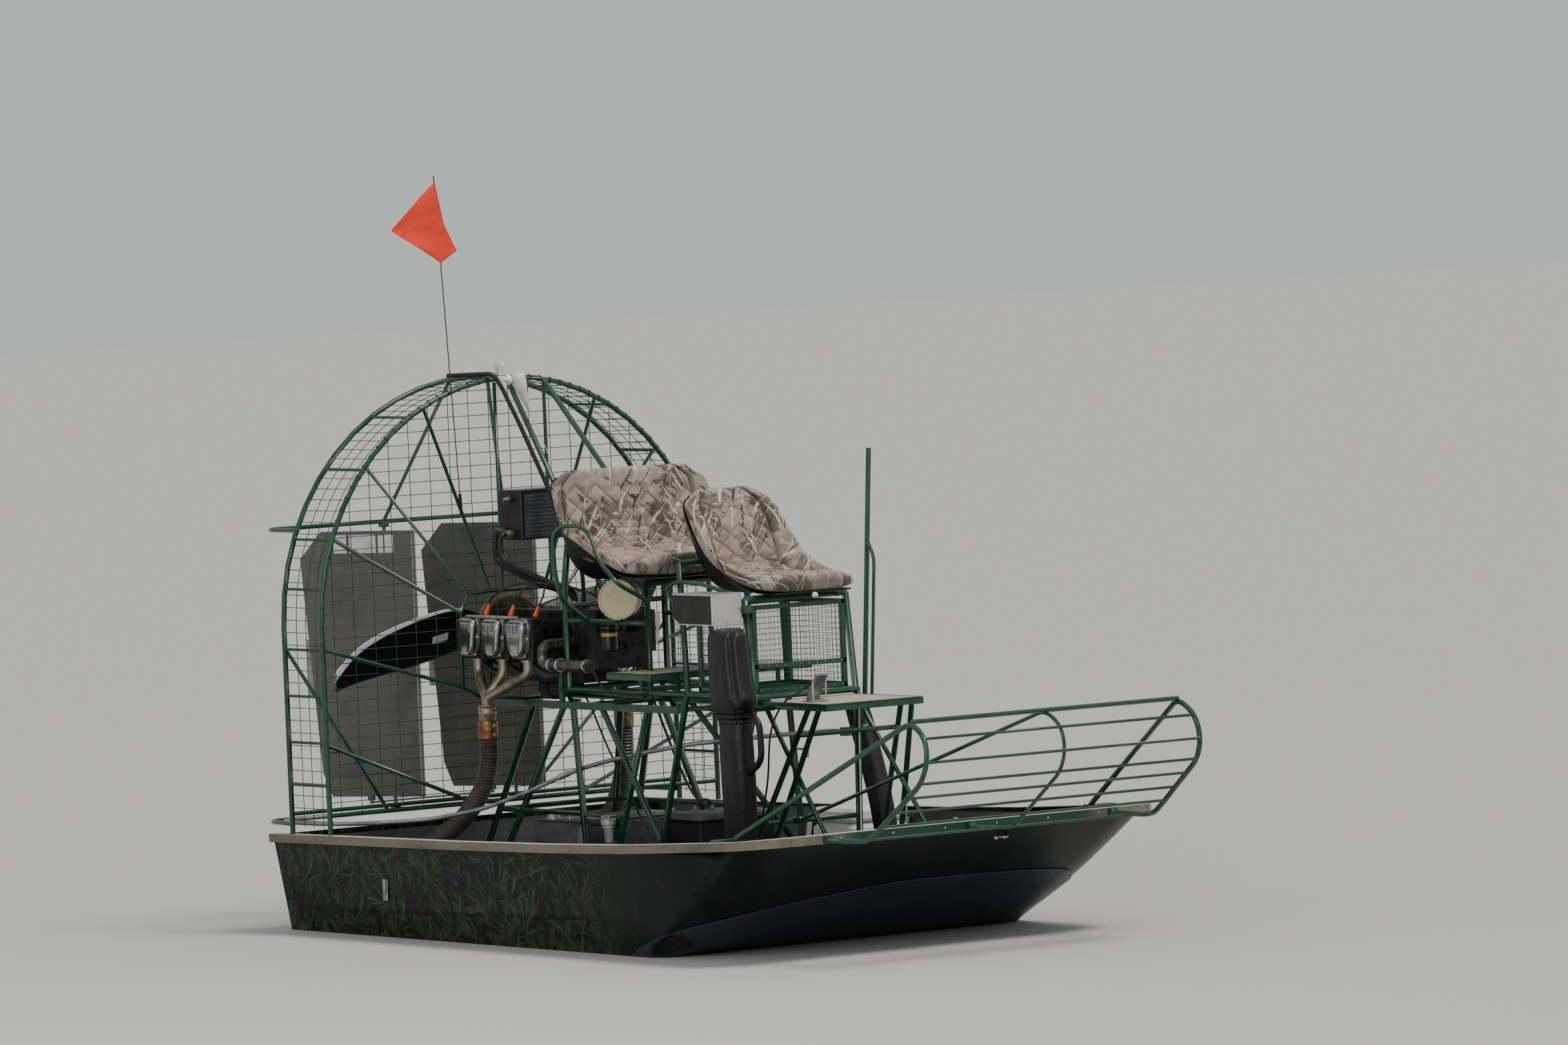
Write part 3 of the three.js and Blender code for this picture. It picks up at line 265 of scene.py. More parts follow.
def block(low, high, cut=3.0):
    """Box with its edges cut back: an eight-cornered outline, pulled in at the bottom and the top by the
    cut."""
    (x0, y0, z0), (x1, y1, z1) = low, high
    rings = []
    for z, inset in ((z0, cut), (z0 + cut, 0.0), (z1 - cut, 0.0), (z1, cut)):
        a, b, c, d = x0 + inset, x1 - inset, y0 + inset, y1 - inset
        rings.append([
            (a + cut, c, z), (b - cut, c, z), (b, c + cut, z), (b, d - cut, z),
            (b - cut, d, z), (a + cut, d, z), (a, d - cut, z), (a, c + cut, z),
        ])
    return skin(rings)


def screw(radius, height):
    """Domed head that stands on z = 0, with a hollow drive."""
    profile = [(0, 0), (0, 1), (0.45, 0.96), (0.85, 0.7), (1, 0.42), (0.62, 0.34), (0.6, 0)]
    return turned(np.array(profile) * (height, radius), (0, 0, 0), UP, 12)


def ring(inner, outer, length, origin, axis, sides):
    """Round band or washer between two radii; a disc when the inner one is 0."""
    return turned([(0, inner), (0, outer), (length, outer), (length, inner)], origin, axis, sides)


def hexagon(radius, height):
    """Six-sided bolt head on a washer that stands on z = 0."""
    head = np.array([(0.25, 0), (0.25, 1), (0.86, 1), (1, 0.8), (1, 0)]) * (height, radius)
    washer = ring(0, radius * 1.3, height * 0.25, (0, 0, 0), UP, 16)
    return together([washer, turned(head, (0, 0, 0), UP, 6)])


def mirrored(shape):
    """The same shape on the other side: y changes sign."""
    points, blocks = shape
    return points * (1, -1, 1), blocks


def placed(name, data):
    """New object for a mesh, a light or a camera, linked into the scene."""
    made = bpy.data.objects.new(name, data)
    bpy.context.scene.collection.objects.link(made)
    return made


def smoothed(mesh, turn):
    """Shades a mesh smooth, apart from edges that turn by more than the given degrees."""
    mesh.shade_smooth()
    mesh.set_sharp_from_angle(angle=math.radians(turn))


def piece(name, shape, finish, body="boat", smooth=True, instead_of=(), slot=None, marks=None, side=1):
    """Makes a piece's mesh from a shape or a list of shapes, in metres from the frame's origin, with its
    doubles merged and its faces outward. Side -1 mirrors it to starboard. The slot is not used. Marks are
    vectors for each point that its finish reads by name."""
    points, blocks = together(shape) if isinstance(shape, list) else shape
    mesh = bpy.data.meshes.new(name)
    places = (points * (1, side, 1) - (MIDDLE, 0, 0)) / 1000
    mesh.from_pydata(places.tolist(), [], [face for faces in blocks for face in faces.tolist()])
    for mark, vectors in (marks or {}).items():
        layer = mesh.attributes.new(mark, "FLOAT_VECTOR", "POINT")
        layer.data.foreach_set("vector", np.ravel(vectors).astype(np.float32))
    work = bmesh.new()
    work.from_mesh(mesh)
    bmesh.ops.remove_doubles(work, verts=work.verts, dist=2e-5)
    bmesh.ops.recalc_face_normals(work, faces=work.faces)
    work.to_mesh(mesh)
    work.free()
    mesh.materials.append(finish)
    if smooth:
        smoothed(mesh, 38)
    made = placed(name, mesh)
    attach(made, body)
    if instead_of:
        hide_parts(*instead_of)
    slot = slot or SLOT_OF_FINISH[finish.name]
    return made


# Finishes: colours are sRGB hex, and patterns are given in patches a metre

def linear(code):
    """sRGB hex to linear light: c / 12.92 up to 0.04045, and ((c + 0.055) / 1.055) ^ 2.4 above."""
    c = np.array([int(code[k:k + 2], 16) for k in (0, 2, 4)]) / 255
    return (*np.where(c <= 0.04045, c / 12.92, ((c + 0.055) / 1.055) ** 2.4).tolist(), 1.0)


def node(tree, kind, inputs=None, **settings):
    """Adds one shader node with its settings, and gives each input its value or its link; returns its
    outputs."""
    made = tree.nodes.new("ShaderNode" + kind)
    for name, value in settings.items():
        setattr(made, name, value)
    for name, value in (inputs or {}).items():
        if isinstance(value, bpy.types.NodeSocket):
            tree.links.new(value, made.inputs[name])
        else:
            made.inputs[name].default_value = value
    return made.outputs


def material(name, **values):
    """Material with one Principled shader, and fixed values on the shader's own sockets."""
    made = bpy.data.materials.new(name)
    made.use_nodes = True
    shader = made.node_tree.nodes["Principled BSDF"]
    for socket, value in values.items():
        shader.inputs[socket.replace("_", " ")].default_value = value
    return made


def connect(made, **links):
    """Links each output to the socket of that name on a material's shader."""
    shader = made.node_tree.nodes["Principled BSDF"]
    for socket, link in links.items():
        made.node_tree.links.new(link, shader.inputs[socket.replace("_", " ")])
    return made


def blend(tree, factor, a, b, kind="MIX"):
    """Colour that goes from a to b, or to their product, as the factor goes from 0 to 1."""
    return node(tree, "Mix", {0: factor, 6: a, 7: b}, data_type="RGBA", blend_type=kind)[2]


def maths(tree, operation, *values):
    """One sum on numbers or links."""
    return node(tree, "Math", dict(enumerate(values)), operation=operation)[0]


def scaled(tree, value, low, high):
    """Value from 0 to 1 turned into a value from low to high."""
    return node(tree, "MapRange", {"Value": value, "To Min": low, "To Max": high})[0]


def ramp(tree, value, low, high):
    """0 below low, 1 above high, smooth between them."""
    limits = {"Value": value, "From Min": low, "From Max": high}
    return node(tree, "MapRange", limits, interpolation_type="SMOOTHSTEP")[0]


def grime(tree, per_metre, detail=6.0, stretch=(1, 1, 1)):
    """Noise on the piece's own coordinates with the given number of patches a metre."""
    place = node(tree, "TexCoord")["Object"]
    place = node(tree, "Mapping", {"Vector": place, "Scale": stretch})[0]
    return node(tree, "TexNoise",
                {"Vector": place, "Scale": per_metre, "Detail": detail, "Roughness": 0.62})[0]


def relief_of(tree, per_metre, detail, strength, height):
    """Normal of a surface with lumps of a height in metres."""
    lumps = grime(tree, per_metre, detail)
    return node(tree, "Bump", {"Height": lumps, "Strength": strength, "Distance": height})[0]


def coated(name, base, worn, rough=0.3, patch=9.0, share=0.62, coat=0.0, metal=0.0, grain=420.0,
           relief=0.04, stretch=(1, 1, 1), shine=0.5):
    """Painted or moulded finish: base colour, a second colour in soft patches, uneven gloss and a fine
    grain."""
    made = material(name, Metallic=metal, Coat_Weight=coat, Coat_Roughness=0.12, Specular_IOR_Level=shine)
    tree = made.node_tree
    stains = ramp(tree, grime(tree, patch, 8.0, stretch), share - 0.14, share + 0.12)
    colour = blend(tree, stains, linear(base), linear(worn))
    shade = blend(tree, ramp(tree, grime(tree, 2.1), 0.3, 0.75), (0.72, 0.72, 0.72, 1), (1, 1, 1, 1))
    colour = blend(tree, 0.35, colour, shade, "MULTIPLY")
    gloss = scaled(tree, grime(tree, 31.0), rough * 0.75, rough * 1.35)
    bumps = relief_of(tree, grain, 3.0, relief * 4, 0.0008)
    return connect(made, Base_Color=colour, Roughness=gloss, Normal=bumps)


def leaves(tree, under, cover, wave, share, depth, dark, light):
    """Leaves over a colour where they cover it: dark at their edges, light along the vein, a depth into
    the wave."""
    vein = ramp(tree, wave, share + 0.03, share + depth)
    return blend(tree, cover, under, blend(tree, vein, linear(dark), linear(light)))


def reed_tufts(tree, place, colour, size, thin, reach, share, dark, light, seed):
    """Reeds that fan up from the root of each cell, within its reach: noise round the root's angle, over
    the share."""
    shift = (seed, seed * 0.7, seed * 1.3)
    cells = node(tree, "Mapping", {"Vector": place, "Location": shift, "Scale": (size, size, size)})[0]
    cell = node(tree, "TexVoronoi", {"Vector": cells, "Scale": 1.0, "Randomness": 1.0})
    arm = node(tree, "VectorMath", {0: cells, 1: cell["Position"]}, operation="SUBTRACT")[0]
    x, y, z = node(tree, "SeparateXYZ", {"Vector": arm})
    sway = maths(tree, "MULTIPLY", maths(tree, "MULTIPLY", z, z), 1.2)
    leaning = maths(tree, "ADD", maths(tree, "ADD", x, y), sway)
    angle = maths(tree, "ARCTAN2", leaning, maths(tree, "ADD", z, 0.28))
    angle = maths(tree, "MULTIPLY", angle, thin)
    spread = node(tree, "CombineXYZ", {"X": angle, "Y": cell["Distance"], "Z": seed})[0]
    spread = node(tree, "VectorMath", {0: spread, 1: cell["Color"]}, operation="ADD")[0]
    wave = node(tree, "TexNoise", {"Vector": spread, "Scale": 1.0, "Detail": 0.4})[0]
    near = ramp(tree, cell["Distance"], reach, reach * 0.72)
    cover = maths(tree, "MULTIPLY", ramp(tree, wave, share, share + 0.03), near)
    return leaves(tree, colour, cover, wave, share, 0.12, dark, light)


def reed_print(tree, place, ground, layers, tufts):
    """Marsh print: soft ground patches, then leaning blades from [lean, across and along cycles a metre,
    share, colours], with tufts from [cells a metre, fineness, reach, share, colours, seed] on top."""
    patches = node(tree, "TexNoise", {"Vector": place, "Scale": 7.0, "Detail": 4.0, "Distortion": 0.6})[0]
    colour = blend(tree, ramp(tree, patches, 0.40, 0.60), linear(ground[0]), linear(ground[1]))
    for k, (lean, across, along, share, dark, light) in enumerate(layers):
        leant = node(tree, "Mapping", {
            "Vector": place, "Location": (0.37 * k, 0.11 * k, 0.53 * k),
            "Rotation": (0.0, math.radians(lean), math.radians(lean * 0.3)),
            "Scale": (1 / across, 1 / across, 1 / along),
        }, vector_type="TEXTURE")[0]
        wave = node(tree, "TexNoise", {"Vector": leant, "Scale": 1.0, "Detail": 0.6, "Distortion": 0.2})[0]
        cover = ramp(tree, wave, share, share + 0.02)
        colour = leaves(tree, colour, cover, wave, share, 0.10, dark, light)
    for tuft in tufts:
        colour = reed_tufts(tree, place, colour, *tuft)
    return colour


def wrapped_side():
    """Printed vinyl film under gloss laminate at the rear, which fades into sprayed gloss green ahead of
    it: deep, dark and wet, with dried mud low down."""
    made = material("gloss_vinyl_wrap_and_green_paint", Coat_Weight=0.05, Coat_Roughness=0.14,
                    Specular_IOR_Level=0.12)
    tree = made.node_tree
    place = node(tree, "TexCoord")["Object"]
    ahead, _, up = node(tree, "SeparateXYZ", {"Vector": place})
    reeds = reed_print(tree, place, ("080a05", "0f110a"), [
        (14, 15, 5.0, 0.58, "131a0e", "192313"), (-34, 22, 5.0, 0.61, "172315", "23351f"),
        (-62, 30, 5.2, 0.63, "1d1b10", "2f2b1b"), (24, 44, 5.0, 0.62, "1c2a1a", "2e452f"),
    ], [
        (3.6, 15.0, 0.74, 0.57, "1a281a", "2a4227", 1.0), (4.6, 12.0, 0.70, 0.58, "1e2d1a", "334b2d", 4.0),
    ])
    green = blend(tree, ramp(tree, grime(tree, 6.0), 0.4, 0.7), linear("04120c"), linear("08221a"))
    edge = maths(tree, "ADD", ahead, scaled(tree, grime(tree, 2.2), -0.25, 0.25))
    colour = blend(tree, ramp(tree, edge, 0.3, 0.8), reeds, green)
    mud = maths(tree, "MULTIPLY", ramp(tree, grime(tree, 14.0), 0.45, 0.8), ramp(tree, up, 0.16, 0.0))
    colour = blend(tree, mud, colour, linear("4e4a3b"))
    gloss = scaled(tree, grime(tree, 22.0), 0.2, 0.42)
    return connect(made, Base_Color=colour, Roughness=gloss, Normal=relief_of(tree, 3.4, 2.0, 0.2, 0.004))


def worn_rail_with_painted_light():
    """Cream paint on the rail's face at the stern and hull green across the nose, scuffed bare along the
    top. The cream is the darker tone that the face has in shade, as painted shade, and every upward face
    turns light grey: bare scuffed metal, with a painted highlight along the top."""
    # Cream 736b58 is the tone of the face in shade: painted shade
    made = coated("worn_cream_rail_paint_with_painted_shade_and_highlight", "736b58", "574f3f", 0.42, 9.0, 0.58,
                  stretch=(0.25, 1, 1))
    tree = made.node_tree
    paint = tree.nodes["Principled BSDF"].inputs["Base Color"].links[0].from_socket
    facing = node(tree, "SeparateXYZ", {"Vector": node(tree, "NewGeometry")["Normal"]})[2]
    ahead, across, _ = node(tree, "SeparateXYZ", {"Vector": node(tree, "TexCoord")["Object"]})
    near_middle = ramp(tree, maths(tree, "ABSOLUTE", across), 0.84, 0.6)
    nose = maths(tree, "MULTIPLY", ramp(tree, ahead, 1.8, 1.87), near_middle)
    paint = blend(tree, nose, paint, linear("0a3326"))
    # Upward faces turn light grey: bare scuffed metal along the top, and a painted highlight there as well
    return connect(made, Base_Color=blend(tree, ramp(tree, facing, 0.5, 0.8), paint, linear("bdbbb2")))


def printed_canvas():
    """Cotton canvas printed with reeds and quilted: matt and fuzzy, with long bent straws over soft brown
    ground; its 1 mm weave is drawn at about 2 mm so that it shows. The print and the stitching follow the
    cloth, and the stitch lines and the creases at the rim, heel and lip are darkened as painted shade."""
    made = material("quilted_printed_seat_canvas", Roughness=0.88, Sheen_Weight=0.2, Sheen_Roughness=0.5)
    tree = made.node_tree
    cloth = node(tree, "Attribute", attribute_name="cloth_place")["Vector"]
    drift = node(tree, "TexNoise", {"Vector": cloth, "Scale": 3.5, "Detail": 0.0})["Color"]
    drift = node(tree, "VectorMath", {0: drift, 1: (0.5, 0.5, 0.5)}, operation="SUBTRACT")[0]
    place = node(tree, "VectorMath", {0: drift, 1: (0.09, 0.0, 0.07), 2: cloth},
                 operation="MULTIPLY_ADD")[0]
    colour = reed_print(tree, place, ("8d8177", "a5978a"), [
        (24, 7, 4.0, 0.57, "675c53", "5c524a"), (-50, 7, 4.0, 0.64, "9d8074", "b29388"),
        (70, 8, 3.5, 0.62, "5f554c", "70655b"), (-30, 9, 4.5, 0.63, "a09284", "b0a292"),
        (-52, 46, 2.6, 0.665, "453c35", "554c44"), (28, 48, 2.4, 0.67, "3f3832", "50473f"),
        (34, 42, 1.9, 0.665, "a09079", "d6c8b3"), (-24, 44, 1.7, 0.68, "a4957e", "d9ccb7"),
        (66, 44, 1.9, 0.69, "9f8f79", "cebfa9"), (-74, 42, 1.9, 0.68, "a0907a", "cbbca6"),
        (6, 48, 1.7, 0.69, "a79882", "d8cab5"),
    ], [
        (2.7, 26.0, 0.66, 0.66, "9f8f79", "d8cab5", 2.0),
    ])
    fade = blend(tree, ramp(tree, grime(tree, 4.0), 0.3, 0.75), linear("a79b90"), linear("ffffff"))
    colour = blend(tree, 0.35, colour, fade, "MULTIPLY")
    across, _, up = node(tree, "SeparateXYZ", {"Vector": cloth})
    # Marks from the seat: how much of each point is quilted panel, and how much lies in a crease at the
    # rim, heel and lip
    marks = node(tree, "Attribute", attribute_name="cloth_panel_and_crease_shade")["Vector"]
    panel, seam, _ = node(tree, "SeparateXYZ", {"Vector": marks})
    lines = []
    for way, soft, depth in (("ADD", 0.26, 0.58), ("SUBTRACT", 0.22, 0.3)):
        turn = maths(tree, "MULTIPLY", maths(tree, way, up, across), math.pi * 1000 / QUILT)
        wave = maths(tree, "ABSOLUTE", maths(tree, "SINE", turn))
        lines.append(maths(tree, "MULTIPLY", ramp(tree, wave, soft, 0.05), depth))
    stitch = maths(tree, "MULTIPLY", maths(tree, "MAXIMUM", *lines), panel)
    # Painted shade: the stitch lines and the creases darken the print towards 2a2521
    stitch_and_crease_shade = maths(tree, "MAXIMUM", stitch, maths(tree, "MULTIPLY", seam, 0.55))
    colour = blend(tree, stitch_and_crease_shade, colour, linear("2a2521"))
    return connect(made, Base_Color=colour, Normal=relief_of(tree, 500.0, 2.0, 0.35, 0.0012))


WRAP = wrapped_side()
CANVAS = printed_canvas()
RAIL = worn_rail_with_painted_light()
# Enamel on welded tube: deep green with a wet line of light along each bar
GREEN = coated("gloss_green_enamel_on_steel_tube", "074830", "062f20", 0.28, 12.0, 0.58, coat=0.25,
               relief=0.02)
# Sprayed sheet: nearly black green, smooth and only a little glossy
HULL_GREEN = coated("sprayed_gloss_green_hull_paint", "04120c", "08221a", 0.3, 5.0, 0.6, coat=0.05,
                    relief=0.015, shine=0.12)
# Rolled sheet as it leaves the mill: soft grey, streaked along its length
ALUMINIUM = coated("mill_finish_aluminium", "9fa19f", "80827f", 0.36, 14.0, 0.6, metal=0.85, relief=0.03,
                   stretch=(0.3, 1, 1))
# Brushed plate: bright, with fine lines drawn out along it
BRIGHT = coated("brushed_aluminium_plate", "d6d3ca", "b5b1a7", 0.3, 10.0, 0.62, metal=0.8, grain=300.0,
                relief=0.05, stretch=(0.15, 1, 1))
# Rolled-on primer: flat warm grey with broad clouds
RUDDER = coated("grey_painted_rudder_sheet", "5e5d55", "4e4d46", 0.5, 4.0, 0.6, relief=0.03)
# Sprayed black: dark, with a soft sheen on edges
BLACK_PAINT = coated("semi_gloss_black_paint", "0f1011", "1b1c1f", 0.34, 10.0, 0.62, coat=0.1, shine=0.35)
# Blow-moulded polyethylene: waxy black with a pebbled skin
BLACK_PLASTIC = coated("moulded_black_polyethylene", "0b0c0c", "17181a", 0.42, 8.0, 0.62, grain=520.0,
                       relief=0.06, shine=0.4)
# Sand casting under old oil: rough, dull and blotched
CAST = coated("sand_cast_aluminium_and_oil_grime", "3b3b3b", "1c1b1a", 0.55, 18.0, 0.5, metal=0.45,
              grain=350.0, relief=0.12)
# Polished casting: bright round highlights with hazy patches
COVER = coated("polished_cast_cover", "b7b6b1", "8f8d87", 0.22, 22.0, 0.62, metal=0.95)
# Pipe that runs hot: straw to brown on smooth metal
EXHAUST = coated("heat_stained_exhaust_steel", "a89a86", "7a644e", 0.36, 11.0, 0.54, metal=0.75)
# Cured rubber over wire: brown black, dusty on its ribs
HOSE = coated("ribbed_exhaust_hose_rubber", "534a45", "3a322e", 0.4, 26.0, 0.58, relief=0.06)
# Gelcoat: clean white under a clear gloss
WHITE = coated("white_gelcoat_plastic", "e4e2d8", "c9c5b6", 0.32, 7.0, 0.64, coat=0.25, relief=0.015)
# Old moulded plastic: cream gone yellow, with little gloss
CREAM = coated("cream_moulded_plastic_lid", "c2b68e", "a89b74", 0.42, 12.0, 0.6, relief=0.03)
# Slick polymer sheet: dark navy, waxy and scuffed
SLICK = coated("navy_slick_polymer_sheet", "10161f", "1b2634", 0.42, 5.0, 0.56, coat=0.1, grain=260.0,
               relief=0.03)
# Copper by the heat: warm and partly dulled
COPPER = coated("heat_tinted_copper_band", "9c7450", "6a4a36", 0.34, 16.0, 0.52, metal=0.9)
# Casting with dirt held between its ribs
COVER_WORN = coated("cast_rib_with_grime", "77756f", "4b4945", 0.4, 30.0, 0.5, metal=0.85, relief=0.05)
# Moulded silicone: flat bright orange
BOOT_ORANGE = coated("orange_silicone_plug_boot", "ee5a2a", "c93f1c", 0.45, 20.0, 0.6)
# Extruded rubber and braid: matt black that takes dust
RUBBER = coated("black_rubber_and_nylon_sleeve", "1b1a1a", "2d2a28", 0.62, 18.0, 0.58, relief=0.05)
# Ink on film: plain dull yellow
YELLOW = coated("yellow_printed_band", "c9962a", "9d741f", 0.4, 20.0, 0.6)
# Thin enamel on pressed fins: grey with black between
CORE = coated("grey_black_enamel_cooler_fins", "8b8f93", "63676b", 0.35, 20.0, 0.6, metal=0.4)
# Zinc wire wound on a liner: dull silver
CASING = coated("zinc_plated_spiral_casing", "a2a4a3", "787a7a", 0.42, 14.0, 0.58, metal=0.6, relief=0.03)
# Frosted plastic: milky under a hard gloss
LENS = coated("frosted_clear_lens", "c9c8bd", "b3b1a4", 0.22, 14.0, 0.62, coat=0.5, relief=0.01)
# Expanded sheet under dust and old paint: chalky
TREAD = coated("dusty_cream_expanded_steel", "b3a493", "8c7f70", 0.55, 22.0, 0.55, metal=0.15, relief=0.06)
# Weathered welded sheet: dull grey with streaks
TANK = coated("welded_aluminium_tank_sheet", "6f716e", "565854", 0.45, 9.0, 0.55, metal=0.6, relief=0.03,
              stretch=(0.3, 1, 1))
# Moulded lid: slate grey, slightly rough
LID = coated("slate_grey_battery_lid", "4c565c", "353c40", 0.5, 10.0, 0.6)
# The polymer sheet's sawn edge: the clean blue inside it
BLUE_EDGE = coated("bright_navy_sheet_edge", "1f3470", "18264e", 0.4, 9.0, 0.6)
# Scoured inner skin: darker grey with long scratches
LINING = coated("brushed_grey_aluminium_lining", "6e706e", "565856", 0.5, 6.0, 0.56, metal=0.55,
                relief=0.03, stretch=(0.2, 1, 1))
# Vinyl film: flat black with an olive cast
PANEL = coated("matt_black_olive_panel_film", "25261e", "33342a", 0.5, 12.0, 0.6, shine=0.3)
# Unprinted vinyl: clean off-white
LABEL = coated("blank_white_vinyl_label", "dcdad2", "bdbab0", 0.35, 20.0, 0.62, relief=0.01)
# Plain-woven nylon: strong orange with a fine dry weave
ORANGE = coated("woven_orange_nylon", "ea3c20", "d83218", 0.7, 20.0, 0.6, grain=500.0, relief=0.08)

# Finishes of each material slot; the drawing's own nodes take the first
FINISHES_OF_SLOT = {
    "camouflage_wrap": [WRAP], "green_enamel": [GREEN], "hull_green": [HULL_GREEN, SLICK, BLUE_EDGE],
    "rail_cream": [RAIL], "aluminium": [ALUMINIUM, LINING, CASING, TANK], "bright_plate": [BRIGHT, TREAD],
    "rudder_grey": [RUDDER], "black_paint": [BLACK_PAINT, PANEL], "cast_metal": [CAST],
    "black_plastic": [BLACK_PLASTIC, RUBBER, CORE, LID], "bright_cover": [COVER, COVER_WORN],
    "exhaust_steel": [EXHAUST, COPPER], "hose_rubber": [HOSE], "seat_fabric": [CANVAS],
    "white_plastic": [WHITE, LENS, LABEL], "cream_plastic": [CREAM, YELLOW],
    "orange_fabric": [ORANGE, BOOT_ORANGE],
}
SLOT_OF_FINISH = {made.name: slot for slot, finishes in FINISHES_OF_SLOT.items() for made in finishes}
for row in frame["record"]["subparts"]:
    shown = frame["nodes"][row["node"]].data.materials
    shown.clear()
    shown.append(FINISHES_OF_SLOT[row["material_slot"]][0])


# Seats

def seat_surface(place, rows):
    """Middle line, direction, half width and paddings of a seat, evenly resampled from lip to top; over
    the last 70 mm the half width shrinks by corner k^2, which rounds the top corners."""
    line = bend(SEATS[place], 24)
    run = run_along(line[:, :2])
    even = np.linspace(0, run[-1], rows)
    values = read_at(even, run, line)
    along = unit(np.gradient(values[:, :2], axis=0))
    values[:, 2] -= SEAT_CORNER[place] * np.clip(1 - (run[-1] - even) / 70, 0, 1) ** 2
    return values, along, even, run[-1]


def padded_seat(place, rows=200, columns=240):
    """Quilted bucket: on station s and turn a, point = line + n (middle + H |sin a|^e) + y half |cos
    a|^e; the thickness eases to nothing at lip and top. The front is level as far across as its panel
    reaches, where it bulges between diamond stitch lines 81 mm apart, and then rises to the rim as ((|t|
    - reach) / (1 - reach))^1.4. Returns the shape and two marks for each point: its place on the cloth,
    and how much of it is quilted panel and seam, which the canvas darkens along stitch lines and creases as
    painted shade."""
    values, along, even, length = seat_surface(place, rows)
    reach = SEAT_PANEL[place]
    x, z, half, pad, low, crest, _ = values.T[:, :, None]
    a = turns(columns, 0.5)[None]
    s = np.sin(a)
    t = signed(np.cos(a), 0.62)
    under = low * np.abs(t) ** 3
    above = pad + (crest - pad) * np.clip((np.abs(t) - reach + 0.04) / (1.04 - reach), 0, 1) ** 1.4
    edge = np.minimum(even, length - even)[:, None] / 38
    ease = (1 - (1 - np.minimum(edge, 1)) ** 2.8) ** (1 / 2.8)
    middle, thick = (above + under) / 2, (above - under) / 2 * ease
    off = middle + thick * signed(s, 0.42)
    run = even[:, None] + 0 * t
    y = half * t
    front = s > 0
    panel = front * ramp_array(reach - np.abs(t), 0.0, 0.03) * ramp_array(run, 235, 260)
    panel = panel * ramp_array(length - run, 60, 80)
    lines = [np.abs(np.sin(math.pi * (run + way * y) / QUILT)) for way in (1, -1)]
    quilt = np.minimum(*lines)
    rim = front * mound(half * (np.abs(t) - reach), 0, 9) * ramp_array(run, 60, 120)
    heel = front * mound(run, 247, 9) * (np.abs(t) < reach)
    roll = mound(run, 0, 5) * (np.abs(t) < 0.97)
    drop = above - off
    off = off + panel * (14.0 * quilt ** 0.6 - 9.0) - 14 * rim - 10 * heel
    dx, dz = along.T[:, :, None]
    lip = 1 - ramp_array(run, 0, 90)
    top = 1 - ramp_array(length - run, 0, 70)
    side = ramp_array(np.abs(t), 0.86, 1.0)
    cloth = points_at(y + np.sign(t) * drop * side, s, run + drop * (top - lip)) / 1000
    # Quilted panel, and the creases at the rim, heel and lip, which the canvas darkens as painted shade
    crease_shade_marks = points_at(panel, np.maximum(np.maximum(rim, heel), roll), 0)
    return skin(points_at(x + dz * off, y, z - dx * off)), {"cloth_place": cloth.reshape(-1, 3),
                                                            "cloth_panel_and_crease_shade": crease_shade_marks.reshape(-1, 3)}


def seat_shell(place, rows=80, columns=96):
    """Moulded bucket, 10 mm thick, under the padding: t = |cos a|^0.5 across, sunk by depth (1 - |t|^6)
    below the line and flat where it rests; the padding's rim rolls over its edge."""
    values, along = (table[1:-2] for table in seat_surface(place, rows)[:2])
    x, z, half, _, low, _, deep = values.T[:, :, None]
    half = half * 0.972
    a = turns(columns, 0.5)[None]
    t = signed(np.cos(a), 0.5)
    wall = signed(np.sin(a), 0.4)
    off = low * np.abs(t) ** 3 - 5.4 + 4.9 * wall - deep * (1 - np.abs(t) ** 6)
    dx, dz = along.T[:, :, None]
    rest = SEAT_REST[place] + 4.9 * (1 + wall)
    return skin(points_at(x + dz * off, half * t, np.maximum(z - dx * off, rest)))


for place in SEATS:
    shape, marks = padded_seat(place)
    seat = piece(f"{place}_seat_padding", shape, CANVAS, instead_of=[f"{place}_seat_cushion"], marks=marks)
    piece(f"{place}_seat_bucket", seat_shell(place), BLACK_PLASTIC, instead_of=[f"{place}_seat_shell"])


# Cage: welded wire clipped to the hoop's outline; the wires' foot, and the steps between them

WIRE_RADIUS = 2.0
WIRE_FOOT = 560
UPRIGHT_STEP = 116.0
LEVEL_STEP = 59.0


def hoop_half(z):
    """Half width of the hoop at height z: straight below its middle, sqrt(R^2 - (z - middle)^2) above."""
    rise = np.clip(np.asarray(z, float) - HOOP_MIDDLE, 0, HOOP_RADIUS)
    return np.sqrt(HOOP_RADIUS**2 - rise**2)


def hoop_line(radius, x, foot=500, count=90):
    """Line of a hoop: up one leg, over the half circle and down the other, at distance radius from the
    middle."""
    a = np.linspace(0, math.pi, count)
    arc = points_at(x, -radius * np.cos(a), HOOP_MIDDLE + radius * np.sin(a))
    left = points_at(x, -radius, np.linspace(foot, HOOP_MIDDLE, 16, endpoint=False))
    return np.vstack([left, arc, left[::-1] * (1, -1, 1)])


